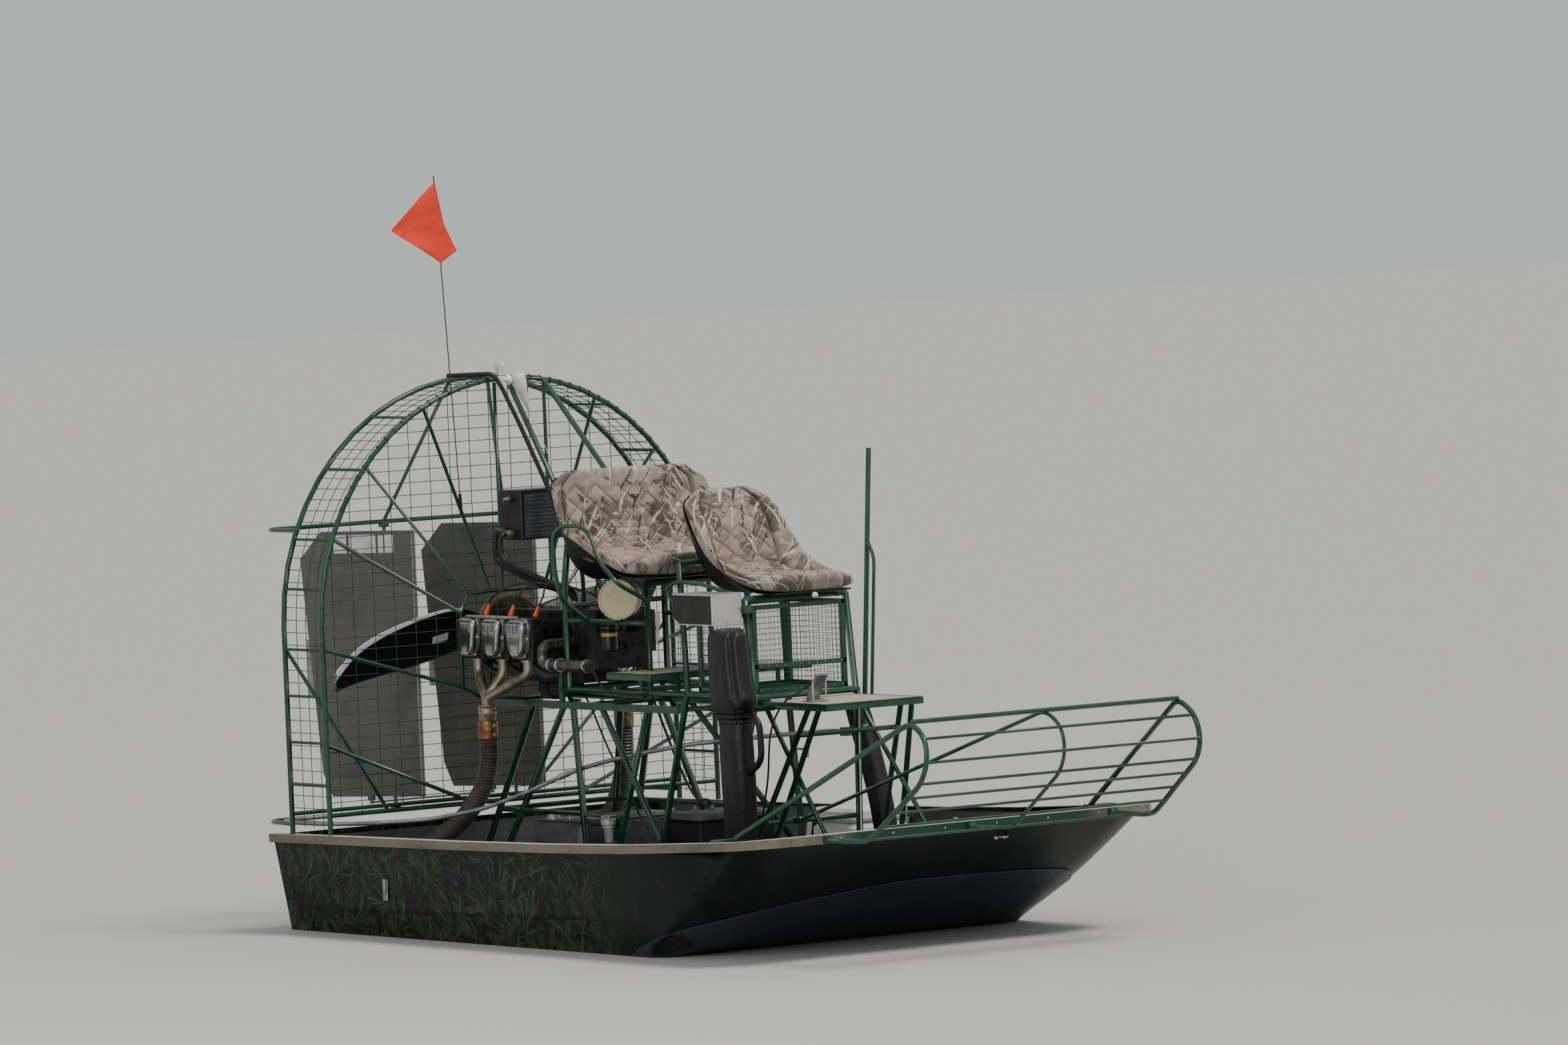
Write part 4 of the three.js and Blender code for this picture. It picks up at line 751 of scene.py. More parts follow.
def cage_wires():
    """Welded wire: uprights 116 mm and level wires 59 mm apart on the front frame, and hoops of wire
    round the rim."""
    x = FRONT_HOOP - 11
    inside = HOOP_RADIUS - 10
    ys = np.arange(-9, 10) * UPRIGHT_STEP
    tops = HOOP_MIDDLE + np.sqrt(inside**2 - ys**2)
    shapes = [rods(points_at(x, ys, WIRE_FOOT), points_at(x, ys, tops), WIRE_RADIUS)]
    zs = WIRE_FOOT + np.arange(1, 34) * LEVEL_STEP
    halves = np.minimum(hoop_half(zs), inside)
    shapes.append(rods(points_at(x - 3, -halves, zs), points_at(x - 3, halves, zs), WIRE_RADIUS))
    line = hoop_line(HOOP_RADIUS - 14, 0.0)
    run = run_along(line)
    along = read_at(np.arange(30, run[-1], LEVEL_STEP), run, line)
    shapes.append(rods(along + (REAR_HOOP - 4, 0, 0), along + (FRONT_HOOP + 4, 0, 0), WIRE_RADIUS))
    shapes += [tube(hoop_line(HOOP_RADIUS - 17, at), WIRE_RADIUS, 6) for at in (250.0, 330.0, 410.0)]
    return together(shapes)


def wire_clips():
    """Bands wrapped round the front hoop's tube where each wire ends."""
    line = evenly(hoop_line(HOOP_RADIUS, FRONT_HOOP, 590), LEVEL_STEP)
    band = turned([(-4, 12), (-4, 14.8), (4, 14.8), (4, 12)], (0, 0, 0), UP, 14)
    return copies(band, line[1:-1], np.gradient(line, axis=0)[1:-1])


piece("cage_wire_mesh", cage_wires(), GREEN)
piece("cage_wire_clips", wire_clips(), GREEN)


# Propeller: two blades of moulded composite, pale guards on their leading edges, and a hub with eight bolts

# Turn of the first blade at rest
FIRST_BLADE = math.radians(191)


def blade_points(r, c, lens, pitch, turn):
    """From radius r and chord place c on a blade to the boat: x = shaft + c tan(pitch) + lens, y and z
    turned."""
    x = SHAFT_X + c * np.tan(np.radians(pitch)) + lens
    y = r * math.cos(turn) + c * math.sin(turn)
    z = SHAFT_Z + r * math.sin(turn) - c * math.cos(turn)
    return points_at(x, y, z)


def blade_lens(thick, bulge):
    """Height of the blade's face: thick (0.62 b^0.8) in front and thick (0.3 |b|^0.8) behind."""
    return thick * (0.62 * np.maximum(bulge, 0) ** 0.8 - 0.3 * np.maximum(-bulge, 0) ** 0.8)


def blade_shape(turn):
    """Blade: sections along the radius; chord point c runs lead to trail as |cos a|, lens thickness as
    |sin a|."""
    r, lead, trail, pitch, thick = bend(BLADE, 7).T[:, :, None]
    a = turns(28)
    c = lead + (trail - lead) * ((1 - np.cos(a)) / 2)
    return skin(blade_points(r, c, blade_lens(thick, np.sin(a)), pitch, turn))


def edge_guard(turn):
    """Pale guard on a blade's leading edge: the blade's own section near a = 0, 1.3 mm proud, wider at
    the tip."""
    r, lead, trail, pitch, thick = (column[15:] for column in bend(BLADE, 7).T[:, :, None])
    width = np.interp(r, [280, 454, 650, 872, 968], [12, 15, 23, 30, 42])
    reach = np.arccos(1 - 2 * np.minimum(width / (lead - trail), 0.95))
    a = reach * np.linspace(-1, 1, 11)[None]
    c = lead + (trail - lead) * (1 - np.cos(a)) / 2 + 1.3 * np.cos(a / reach)
    bulge = np.sin(a)
    return skin(blade_points(r, c, blade_lens(thick, bulge) + 1.3 * np.sign(bulge), pitch, turn))


def blade_label(turn, proud):
    """Blank label on a blade's front, 88 by 38: the blade's own face at bulge sin(acos(1 - 2 across)),
    and proud."""
    table = bend(BLADE, 12)
    r = np.linspace(327, 415, 12)[:, None]
    lead, trail, pitch, thick = (np.interp(r, table[:, 0], column) for column in table.T[1:])
    c = np.linspace(30, 68, 8)[None]
    across = (lead - c) / (lead - trail)
    lens = thick * 0.62 * np.sin(np.arccos(1 - 2 * across)) ** 0.8 + proud
    return blade_points(r, c, lens, pitch, turn)


both = (FIRST_BLADE, FIRST_BLADE + math.pi)
hub = turned([(-60, 0), (-60, 60), (-52, 70), (52, 70), (60, 64), (64, 0)], (SHAFT_X, 0, SHAFT_Z), FORWARD,
             40)
piece("propeller_blades", [*map(blade_shape, both), hub], BLACK_PAINT, "propeller",
      instead_of=["propeller"])
piece("propeller_edge_guards", [*map(edge_guard, both)], WHITE, "propeller")
faces = [np.concatenate([blade_label(turn, 0.9), blade_label(turn, 0.1)[:, ::-1]], axis=1) for turn in both]
piece("propeller_blank_labels", [*map(skin, faces)], LABEL, "propeller")
spins = turns(8)
heads = points_at(SHAFT_X - 60, 48 * np.cos(spins), SHAFT_Z + 48 * np.sin(spins))
piece("propeller_bolts", copies(hexagon(9, 12), heads, AFT), BRIGHT, "propeller")


# Frames: the drawing's own tubes, with their doubles merged and the round ones shaded round

def round_frame(name, body="boat", turn=64):
    """Copy of a node's mesh, merged, with every edge up to the given turn in degrees shaded smooth."""
    mesh = frame["nodes"][name].data.copy()
    work = bmesh.new()
    work.from_mesh(mesh)
    bmesh.ops.remove_doubles(work, verts=work.verts, dist=1e-5)
    bmesh.ops.dissolve_limit(work, angle_limit=math.radians(0.4), verts=work.verts, edges=work.edges)
    work.to_mesh(mesh)
    work.free()
    smoothed(mesh, turn)
    made = placed(name + "_tubes", mesh)
    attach(made, body)
    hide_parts(name)


for name in ("hull_bow", "gunwale_rail"):
    round_frame(name, turn=32)
for name in ("cage_front", "cage_rear", "rudder_rail", "stern_guard", "engine_stand", "seat_stand",
             "platform_stand", "grass_rake", "oil_hoses", "flag_staff"):
    round_frame(name)
round_frame("tie_rod", "tie_rod")
round_frame("control_stick", "control_stick")


# Hull: sheet of slick plastic folded up round the bow, ribs inside, rail screws, latch, bow eye and outlets

# Where the bow's rake starts, and the heights at which the drawing cuts the bow
BOW_FOOT = 2990
BOW_LEVELS = np.array([0, 40, 100, 180, 280, 390, 500, 570.0])


def sheer(x):
    """Height of the gunwale: 457 + 12 x / 1000 + 65.5 (x / 3960)^4."""
    x = np.asarray(x, float)
    return 457 + 0.012 * x + 65.5 * (x / HULL_LENGTH) ** 4


def half_breadth(z):
    """Half breadth of the skin: 1036 + 0.186 z."""
    return 1036 + 0.186 * np.asarray(z, float)


def bow_reach(z):
    """Reach of the bow: foot + rake (z / sheer)^0.74, straight between the drawing's levels."""
    return np.interp(z, BOW_LEVELS,
                     BOW_FOOT + (HULL_LENGTH - BOW_FOOT) * (BOW_LEVELS / sheer(HULL_LENGTH)) ** 0.74)


def bow_corner(nose):
    """Radius of the bow's corners in plan, for a nose at x."""
    return np.minimum(250, nose - 2900)


def bow_outline(run, z, out):
    """Point of the bow's skin, out of it by a distance: along the side, round the corner and across the
    nose."""
    nose, half = bow_reach(z) + out * 1.2, half_breadth(z) + out
    corner = bow_corner(nose)
    straight = nose - corner
    turn = np.clip((run - straight) / corner, 0, math.pi / 2)
    past = np.maximum(run - straight - corner * math.pi / 2, 0)
    x = np.where(run < straight, run, straight + corner * np.sin(turn))
    y = half - corner + corner * np.cos(turn) - past
    return points_at(x, -y, z)


# Run from the transom along the side and round to the middle of the nose, and where the plastic sheet
# starts
MIDDLE_RUN = 4600.0
SHEET_START = 2780

# Top edge of the hand-cut plastic sheet, run and height, on the starboard side and on the port side
SHEET_EDGE = np.array([
    [2780, 6], [3061, 84], [3303, 140], [3459, 172], [3689, 212], [3943, 242], [4253, 276], [4420, 292],
    [4600, 300],
], float)
SHEET_EDGE_PORT = np.array([
    [2780, 6], [3061, 96], [3303, 160], [3459, 204], [3632, 251], [3720, 271], [3830, 283], [3990, 290],
    [4160, 295], [4370, 298], [4600, 300],
], float)


def half_band(start, low, top, out, columns, rows):
    """Starboard half of a band on the hull's skin: runs from start to the middle of the nose, and heights
    from low to top(run), both in even steps."""
    run = np.linspace(start, MIDDLE_RUN, columns)[:, None]
    z = low + (top(run) - low) * np.linspace(0, 1, rows)[None]
    nose = bow_reach(z)
    corner = bow_corner(nose)
    whole = nose - corner + corner * math.pi / 2 + half_breadth(z) - corner
    return bow_outline(start + (run - start) * (whole - start) / (MIDDLE_RUN - start), z, out)


def hull_band(start, low, starboard_top, port_top, outs, columns=150, rows=24):
    """Band on the hull's skin from a run on one side, round the nose, to the same run on the other,
    between a low height and each side's top edge, and between two distances out of the skin."""
    layers = []
    for out in outs:
        starboard, port = (half_band(start, low, top, out, columns, rows)
                           for top in (starboard_top, port_top))
        layers.append(np.concatenate([starboard, port[-2::-1] * (1, -1, 1)]))
    return skin(np.concatenate([layers[0], layers[1][:, ::-1]], axis=1))


def along_rail(step, out, drop):
    """Places and outward directions every step along the gunwale, from the transom round the bow and
    back."""
    x = np.arange(150, 3700, step, dtype=float)
    side = points_at(x, half_breadth(sheer(x)) + out, sheer(x) - drop)
    across = np.arange(-2.5, 3, 1) * step
    front = points_at(HULL_LENGTH + out, across, sheer(HULL_LENGTH) - drop)
    places = np.vstack([side, side * (1, -1, 1), front])
    outward = np.vstack([side * 0 + PORT, side * 0 + STARBOARD, front * 0 + FORWARD])
    return places, outward


def sheet_top(run):
    """Height of the plastic sheet's cut edge at a run on the starboard side."""
    return np.interp(run, *bend(SHEET_EDGE, 8).T)


def sheet_top_port(run):
    """The same on the port side."""
    return np.interp(run, *bend(SHEET_EDGE_PORT, 8).T)


sheet = hull_band(SHEET_START, 1.0, sheet_top, sheet_top_port, (3.3, 0.4))
piece("bow_slick_sheet", sheet, SLICK)
piece("bow_sheet_edge", tube(sheet[0].reshape(-1, 48, 3)[6:-6, 23], 2.2, 8), BLUE_EDGE)


def lining_top(run):
    """The inside skin ends 12 mm under the gunwale."""
    return sheer(np.minimum(run, HULL_LENGTH)) - 12


piece("hull_lining", hull_band(10, 11.0, lining_top, lining_top, (-8.6, -7.4), 200, 6), LINING)
plates = [block((7, -1010, 12), (8.2, 1010, 430), 0.3), block((10, -1022, 8.3), (2960, 1022, 9.6), 0.3)]
piece("bottom_lining", plates, LINING)


def pressed_rib():
    """Shallow swage along a side: z runs 92 + 0.0235 x and up by 54, out by 4 sin(pi t)^0.6, fading near
    the bow."""
    x = np.linspace(12, 2890, 60)[:, None]
    t = np.linspace(0, 1, 9)[None]
    z = 92 + 0.0235 * x + 54 * t
    proud = 4.0 * np.sin(math.pi * t) ** 0.6 * (1 - ramp_array(x, 2300, 2880))
    layers = [points_at(x, half_breadth(z) + out, z) for out in (proud + 0.4, 0 * proud - 1)]
    return skin(np.concatenate([layers[0], layers[1][:, ::-1]], axis=1))


swages = [pressed_rib(), mirrored(pressed_rib())]
piece("side_pressed_ribs", swages, WRAP)
piece("rail_screws", copies(screw(6, 4.0), *along_rail(290, 24.2, 14)), ALUMINIUM)

ribs = []
for at in range(520, 2800, 380):
    foot, head = half_breadth(30) - 25, half_breadth(sheer(at) - 45) - 25
    rib = rods([(at, foot, 14)], [(at, head, sheer(at) - 42)], 16, 4)
    ribs += [rib, mirrored(rib)]
piece("hull_side_ribs", ribs, ALUMINIUM, smooth=False)

latch_y = -half_breadth(242) - 1.5
latch = [block((857, latch_y - 5, 176), (897, latch_y, 310), 2),
         block((867, latch_y - 11, 205), (887, latch_y - 5, 282), 3)]
latch.append(copies(screw(3.5, 2.5), [(877, latch_y - 5, 186), (877, latch_y - 5, 300)], STARBOARD))
piece("side_latch", latch, ALUMINIUM)

bow = [(3846, 244, 482), (3872, 252, 481), (3880, 270, 481), (3872, 288, 481), (3846, 296, 482)]
eye = [tube(bend(bow, 6), 5, 12)]
eye += [turned([(0, 0), (0, 12), (3, 12), (5, 8), (5, 0)], (3842, y, 481), (0.9, 0, -0.3), 20)
        for y in (246, 294)]
piece("bow_eye", eye, BRIGHT)

# Outlets' middles: distance to each side, and height
OUTLET_Y, OUTLET_Z = 560, 320
flange = [(0, 36), (0, 66), (5, 66), (7, 58), (26, 52), (30, 46), (30, 40), (4, 38), (4, 36)]
outlets = []
for side in (-1, 1):
    outlets.append(turned(flange, (-0.4, side * OUTLET_Y, OUTLET_Z), AFT, 40))
    spins = turns(6)
    heads = points_at(-5, side * OUTLET_Y + 58 * np.cos(spins), OUTLET_Z + 58 * np.sin(spins))
    outlets.append(copies(hexagon(4.5, 5), heads, AFT))
drain = turned([(0, 0), (0, 17), (5, 17), (6, 12), (16, 10), (16, 0)], (-0.4, -300, 60), AFT, 24)
piece("transom_outlets", outlets + [drain, mirrored(drain)], BLACK_PLASTIC)


# Exhaust: smooth headers that run together, a copper clamp and a ribbed hose on each side

# Cylinders along the boat, and the place (x, y) where each side's headers run together
CYLINDERS = (610, 815, 1020)
COLLECTOR = (765, 391)
for label, side in SIDES:
    pipes = []
    for x in CYLINDERS:
        route = [(x, 322, 1252.7), (x, 322, 1182.7), (*COLLECTOR, 1070), (*COLLECTOR, 1000)]
        pipes.append(tube(bent_run(route, 95, 16), 24, 24))
        pipes.append(turned([(0, 0), (0, 34), (8, 34), (9, 0)], (x, 322, 1251), DOWN, 24))
    collar = [(0, 0), (0, 38), (8, 44), (12, 41), (26, 41), (30, 44), (44, 44), (48, 41), (74, 40),
              (78, 38), (78, 0)]
    pipes.append(turned(collar, (*COLLECTOR, 1040), DOWN, 40))
    piece(f"exhaust_pipes_{label}", pipes, EXHAUST, instead_of=[f"exhaust_header_{label}"], side=side)
    route = [(*COLLECTOR, 961.7), (*COLLECTOR, 700), (610, 432, 500), (350, 510, 350),
             (150, OUTLET_Y, OUTLET_Z), (6.3, OUTLET_Y, OUTLET_Z)]
    hose = ribbed(route, 41.5, 14, 3.6, 120, 28)
    piece(f"exhaust_ribbed_hose_{label}", hose, HOSE, instead_of=[f"exhaust_hose_{label}"], side=side)
    profile = [(0, 43), (0, 46.5), (6, 48), (20, 46.6), (32, 46.6), (40, 48), (46, 46.6), (72, 46.6),
               (80, 45.6), (80, 43)]
    band = turned(profile, (*COLLECTOR, 962), DOWN, 40)
    piece(f"exhaust_copper_clamp_{label}", band, COPPER, side=side)
    lugs = [block((806, 384, 935), (826, 398, 952), 2), block((806, 384, 893), (826, 398, 910), 2)]
    lugs.append(copies(hexagon(5, 8), [(816, 384, 943), (816, 384, 901)], STARBOARD))
    piece(f"exhaust_clamp_bolts_{label}", lugs, EXHAUST, side=side)


# Engine: covers, plug leads, fins, pushrod tubes, magnetos, filter, carburettor

# Middle height of the covers
HEAD_Z = 1355


def shield(x, scale, y0, y1, soften=0.0):
    """Cover plate of a cylinder head, from y0 to y1: a rounded outline, 88 wide at the top and 54 at the
    foot."""
    a = turns(64)
    c, s = signed(np.cos(a), 0.5), signed(np.sin(a), 0.5)
    half = 71 + 17 * s - 4 * (1 - np.abs(s)) ** 2
    steps = [(y0, 1.0), (y1 - soften, 1.0), (y1 - soften * 0.45, 1.0 - 0.0024 * soften),
             (y1, 1.0 - 0.009 * soften)]
    return skin([points_at(x + half * c * scale * k, y, HEAD_Z + 94 * s * scale * k) for y, k in steps])


for label, side in SIDES:
    covers, panels, bolts = [], [], []
    for x in CYLINDERS:
        covers += [shield(x, 1.0, 352.3, 358), shield(x, 0.955, 358, 362), shield(x, 1.0, 362, 367)]
        covers.append(shield(x, 0.94, 367, 402, 16))
        panels.append(block((x - 56, 400, 1426), (x + 56, 404, 1434), 1.2))
        for row in range(1, 5):
            width, z = 56 - 3.5 * row, 1421 - 9 * row
            panels.append(block((x - width, 400, z), (x - 14, 404, z + 4), 1.2))
            panels.append(block((x + 14, 400, z), (x + width, 404, z + 4), 1.2))
        panels.append(block((x - 4, 400, 1376), (x + 4, 404, 1418), 1.2))
        at = np.radians([55, 125, 180, 235, 305, 0])
        c, s = signed(np.cos(at), 0.5), signed(np.sin(at), 0.5)
        spots = points_at(x + (71 + 17 * s) * c * 0.97, 367, HEAD_Z + 94 * s * 0.97)
        bolts.append(copies(hexagon(5.5, 6), spots, PORT))
    rail = rods((600, 372, 1451), (1030, 372, 1451), 9, 16)
    piece(f"valve_cover_shields_{label}", covers + [rail], COVER, instead_of=[f"valve_covers_{label}"],
          side=side)
    piece(f"valve_cover_panels_{label}", panels, COVER_WORN, side=side)
    piece(f"valve_cover_bolts_{label}", bolts, BRIGHT, side=side)

    fins = []
    for y in np.arange(126, 286, 9.0):
        fins += [ring(60, 85, 2.2, (x, y, SHAFT_Z - 12), PORT, 36) for x in CYLINDERS]
    for z in np.arange(1258, 1446, 9.0):
        fins += [block((x - 94, 286, z), (x + 94, 350, z + 2.2), 0.8) for x in CYLINDERS]
    piece(f"cylinder_fins_{label}", fins, CAST, side=side)

    pushrods, boots, leads = [], [], []
    for x in CYLINDERS:
        pushrods += [rods((x + dx, 118, 1290), (x + dx * 1.3, 300, 1272), 9, 12) for dx in (-32, 32)]
        base = np.array([x + 76, 322, 1458], float)
        tip = np.array([x + 92, 312, 1506], float)
        boots.append(tube(np.linspace(base, tip, 8), np.array([13, 13, 11, 11, 9, 9, 7, 7.0]), 16))
        mid = (tip + (1180, 60, 1600)) / 2 + (-60, 40, 50)
        way = [tip - (4, 0, 8), tip + (14, -16, 40), mid, (1190, 90, 1560), (1300, 60, 1500)]
        leads.append(tube(bend(way, 12), 4.5, 8))
    piece(f"pushrod_tubes_{label}", pushrods, EXHAUST, side=side)
    piece(f"plug_boots_{label}", boots, BOOT_ORANGE, side=side)
    piece(f"plug_leads_{label}", leads, RUBBER, side=side)

housing = [(0, 0), (0, 52), (40, 54), (52, 44), (90, 42), (98, 30), (98, 0)]
drive = [(0, 0), (0, 20), (14, 20), (16, 14), (30, 12), (30, 0)]
magnetos = []
for side in (-1, 1):
    magnetos.append(turned(housing, (1329, side * 66, 1420), FORWARD, 32))
    spots = [(1372, side * 66 + dy, 1420 + dz) for dy, dz in ((46, 0), (-46, 0), (0, 46))]
    magnetos.append(copies(hexagon(5, 7), spots, FORWARD))
    magnetos.append(turned(drive, (1329, side * 20, 1300), FORWARD, 24))
piece("magnetos", magnetos, CAST)
profile = [(0, 40), (0, 186), (3, 190), (13, 190), (16, 186), (16, 150), (10, 140), (10, 40)]
ring_gear = [turned(profile, (412, 0, SHAFT_Z), FORWARD, 72)]
teeth = points_at(0, np.cos(turns(90)), np.sin(turns(90)))
ring_gear.append(copies(block((-3, -3, 0), (3, 3, 7), 1), teeth * 188 + (420, 0, SHAFT_Z), teeth))
piece("starter_ring", ring_gear, EXHAUST, "propeller", slot="cast_metal")
# Oil filter's place (x, y)
FILTER = (1516, -200)
filter_can = [turned([(0, 0), (0, 30), (6, 38), (96, 38), (104, 32), (104, 0)], (*FILTER, 1296), UP, 32),
              turned([(0, 0), (0, 44), (14, 44), (22, 40), (22, 0)], (*FILTER, 1400), UP, 32),
              rods((*FILTER, 1425), (1330, -110, 1425), 20, 16)]
piece("oil_filter", filter_can, BLACK_PAINT)
piece("oil_filter_band", ring(36, 38.8, 16, (*FILTER, 1366), UP, 32), YELLOW)
carburettor = [block((810, -62, 1064), (930, 62, 1129), 8),
               turned([(0, 0), (0, 52), (10, 56), (24, 56), (24, 0)], (809, 0, 1098), AFT, 32),
               turned([(0, 0), (0, 60), (70, 60), (76, 54), (76, 0)], (785, 0, 1098), AFT, 32)]
piece("carburettor", carburettor, CAST)
routes = [[(x - 30, 90, 1180), (x - 30, 240, 1176), (x - 36, 300, 1252)] for x in CYLINDERS]
runners = [tube(bent_run(route, 70, 8), 19, 14) for route in routes]
runners += [*map(mirrored, runners)]
piece("induction_pipes", runners, ALUMINIUM)
case = [copies(hexagon(7, 9), [(x, -24, 1470), (x, 24, 1470)], UP) for x in range(500, 1190, 76)]
case.append(block((480, -8, 1248), (1196, 8, 1474), 2))
case += [block((x - 5, -128, 1262), (x + 5, 128, 1462), 2) for x in (540, 712, 916, 1120)]
piece("crankcase_seams", case, CAST)

# Intake duct's line along the boat (y, z)
DUCT = (-335, 1235)
route = [(1160, -120.3, 1325), (1160, -335, 1325), (1160, *DUCT), (1540, *DUCT)]
intake = [tube(bent_run(route, 75, 16), 27, 24)]
intake += [ring(26, 30, 16, (x, *DUCT), FORWARD, 32) for x in (1240, 1530)]
piece("intake_duct", intake, COVER_WORN, instead_of=["intake_pipe"], slot="aluminium")
# Clamps along the duct
CLAMPS = (1226, 1296, 1516)
clamps = [ring(27, 31.5, 12, (x, *DUCT), FORWARD, 32) for x in CLAMPS]
clamps += [block((x + 1, -371, 1229), (x + 11, -361, 1241), 1.5) for x in CLAMPS]
piece("intake_clamps", clamps, BRIGHT)
vent = [(1528, -366, 1236), (1580, -368, 1246), (1614, -366, 1212), (1666, -362, 1150), (1748, -352, 1118),
        (1874, -318, 1108), (1940, -294, 1119)]
piece("vent_line", tube(bend(vent, 8), 5, 10), RUBBER)


# Oil cooler: two end tanks, a stack of fins and flat tubes, top and bottom plates, hose fittings

fins = [block((604, -138, z), (776, 218, z + 1.2), 0.4) for z in np.arange(1814, 2024, 6.0)]
tubes = [block((612, -138, z), (768, 218, z + 5), 1) for z in np.arange(1825, 2020, 18.0)]
piece("cooler_core", fins + tubes, CORE)
shell = [block((600, -160, 1800), (780, -138, 2035), 4), block((600, 218, 1800), (780, 240, 2035), 4),
         block((600, -140, 2021), (780, 220, 2035), 3), block((600, -140, 1800), (780, 220, 1814), 3)]
near = FRONT_HOOP + 9.8
for z in (1840, 1995):
    shell += [block((near, -94, z - 12), (604, -74, z + 12), 2),
              block((near, 190, z - 12), (604, 210, z + 12), 2)]
piece("cooler_frame", shell, BLACK_PAINT, instead_of=["oil_cooler"], slot="black_plastic")
fittings = []
for x, z in ((640, 1840), (700, 1830)):
    fittings += [rods((x, -184, z), (x, -160, z), 20, 6), rods((x, -200, z), (x, -180, z), 17, 16)]
for x in (950, 1050):
    fittings += [rods((x, -60, 1470), (x, -60, 1492), 20, 6), rods((x, -60, 1490), (x, -60, 1512), 17, 16)]
nut = [(0, 0), (0, 16), (18, 16), (20, 12), (36, 12), (36, 0)]
fittings.append(turned(nut, (690, -160, 1990), STARBOARD, 6))
piece("hose_fittings", fittings, EXHAUST)


# Wiring, cables and small fittings along the frames

sleeve = [(212, -156, 2574), (470, -140, 2581), (532, -118, 2583), (570, -98, 2522), (640, -45, 2330),
          (860, -45, 2020), (1080, -45, 1720), (1100, -45, 1620), (1100, -45, 1470.3)]
piece("wiring_loom", ribbed(sleeve, 10.4, 6.5, 0.9, 50, 10), RUBBER, instead_of=["wiring_sleeve"])
casing = [(2599.7, 330, 915), (2500, 330, 915), (2300, 150, 900), (2000, -100, 870), (1700, -215, 820),
          (1400, -262, 762), (1230, -290, 715), (1060, -372, 640), (860, -500, 560), (620, -640, 512),
          (450, -860, 505), (300, -1010, 508), (100, -1060, 512), (-30, -1040, 512), (-76, -950, 512),
          (-76, -600, 512)]
piece("steering_casing", ribbed(casing, 10.3, 13, 0.7, 90, 12, 1), CASING, instead_of=["steering_cable"])
direction = np.subtract(casing[6], casing[7])
ferrule = turned([(-34, 9), (-34, 13), (-26, 15), (26, 15), (34, 13), (34, 9)], casing[6], direction, 24)
piece("steering_ferrule", ferrule, BRIGHT)

profile = [(0, 0), (0, 33), (10, 33), (13, 30), (18, 30), (22, 29), (44, 29), (56, 25), (64, 17), (69, 6),
           (70, 0)]
dome = turned(profile, (FRONT_HOOP, -40, 2571.7), UP, 36)
piece("anchor_light_dome", dome, LENS, instead_of=["anchor_light"])
taper = np.interp(np.arange(13), [0, 1, 5, 12], [25, 33, 31, 6])
ratchet = [
    block((502, -85, 2450), (535, -38, 2568), 7),
    turned([(0, 0), (0, 24), (8, 26), (22, 26), (28, 20), (28, 0)], (520, -38, 2548), PORT, 28),
    rods((528, -60, 2552), (545, 45, 2552), 11, 16),
    tube(bend([(550, 14, 2578), (550, 32, 2500), (550, 74, 2392)], 6), taper, 24),
    rods((550, 72, 2400), (550, 186, 2150), 2.4, 8),
    copies(screw(4, 3), [(535, -74, 2464), (535, -49, 2464), (535, -74, 2545)], FORWARD),
]
piece("whip_antenna", ratchet, WHITE, instead_of=["antenna"])

# Canister: its middle, and the way its lid faces
CANISTER = (1733, -280, 1549)
CANISTER_AXIS = np.array([0.707, -0.707, 0])
rim = [(66, 0), (66, 88), (68, 93), (78, 93), (80, 91), (80, 85), (77, 82), (76, 20), (76, 0)]
wall = [(-70.5, 0), (-70.5, 84), (-66, 90), (-20, 90), (-18, 91.5), (-10, 91.5), (-8, 90), (66, 90),
        (66, 0)]
drum = [turned(profile, CANISTER, CANISTER_AXIS, 56) for profile in (wall, rim)]
piece("canister_drum", drum, CREAM, instead_of=["canister"])
spokes = np.radians([20, 80, 140, 200, 260, 320])[:, None]
outward = np.cos(spokes) * np.cross(CANISTER_AXIS, UP) + np.sin(spokes) * UP
spots = np.array(CANISTER) + CANISTER_AXIS * 80 + 87.5 * outward
piece("canister_screws", copies(screw(4, 3), spots, CANISTER_AXIS), EXHAUST)

outline = np.array([[2450, 1490], [2500, 1457], [2760, 1457], [2760, 1600], [2450, 1600]], float)
inwards = np.array([2605, 1530]) - outline
rings = []
for share, y in ((0.02, -500), (0.0, -496), (0.0, -334), (0.02, -330)):
    x, z = (outline + inwards * share).T
    rings.append(points_at(x, y, z))
piece("instrument_case", skin(rings), BRIGHT, smooth=False, instead_of=["instrument_box"], slot="aluminium")
plate = outline + inwards * (0.045, 0.09)
layers = [points_at(plate[:, 0], y, plate[:, 1]) for y in (-502.5, -499)]
piece("instrument_case_panel", skin(layers), PANEL, smooth=False)
front = [(2760, y, z) for y, z in ((-488, 1470), (-488, 1588), (-342, 1470), (-342, 1588), (-415, 1470))]
flank = [(x, -500, z) for x, z in ((2460, 1596), (2750, 1596), (2750, 1464), (2516, 1464))]
rivets = [copies(screw(4, 2.5), front, FORWARD), copies(screw(3.5, 2.5), flank, STARBOARD)]
piece("instrument_case_rivets", rivets, ALUMINIUM)


# Gun boots: moulded plastic, two long lobes above a waist with rows of pads, and a thick side handle

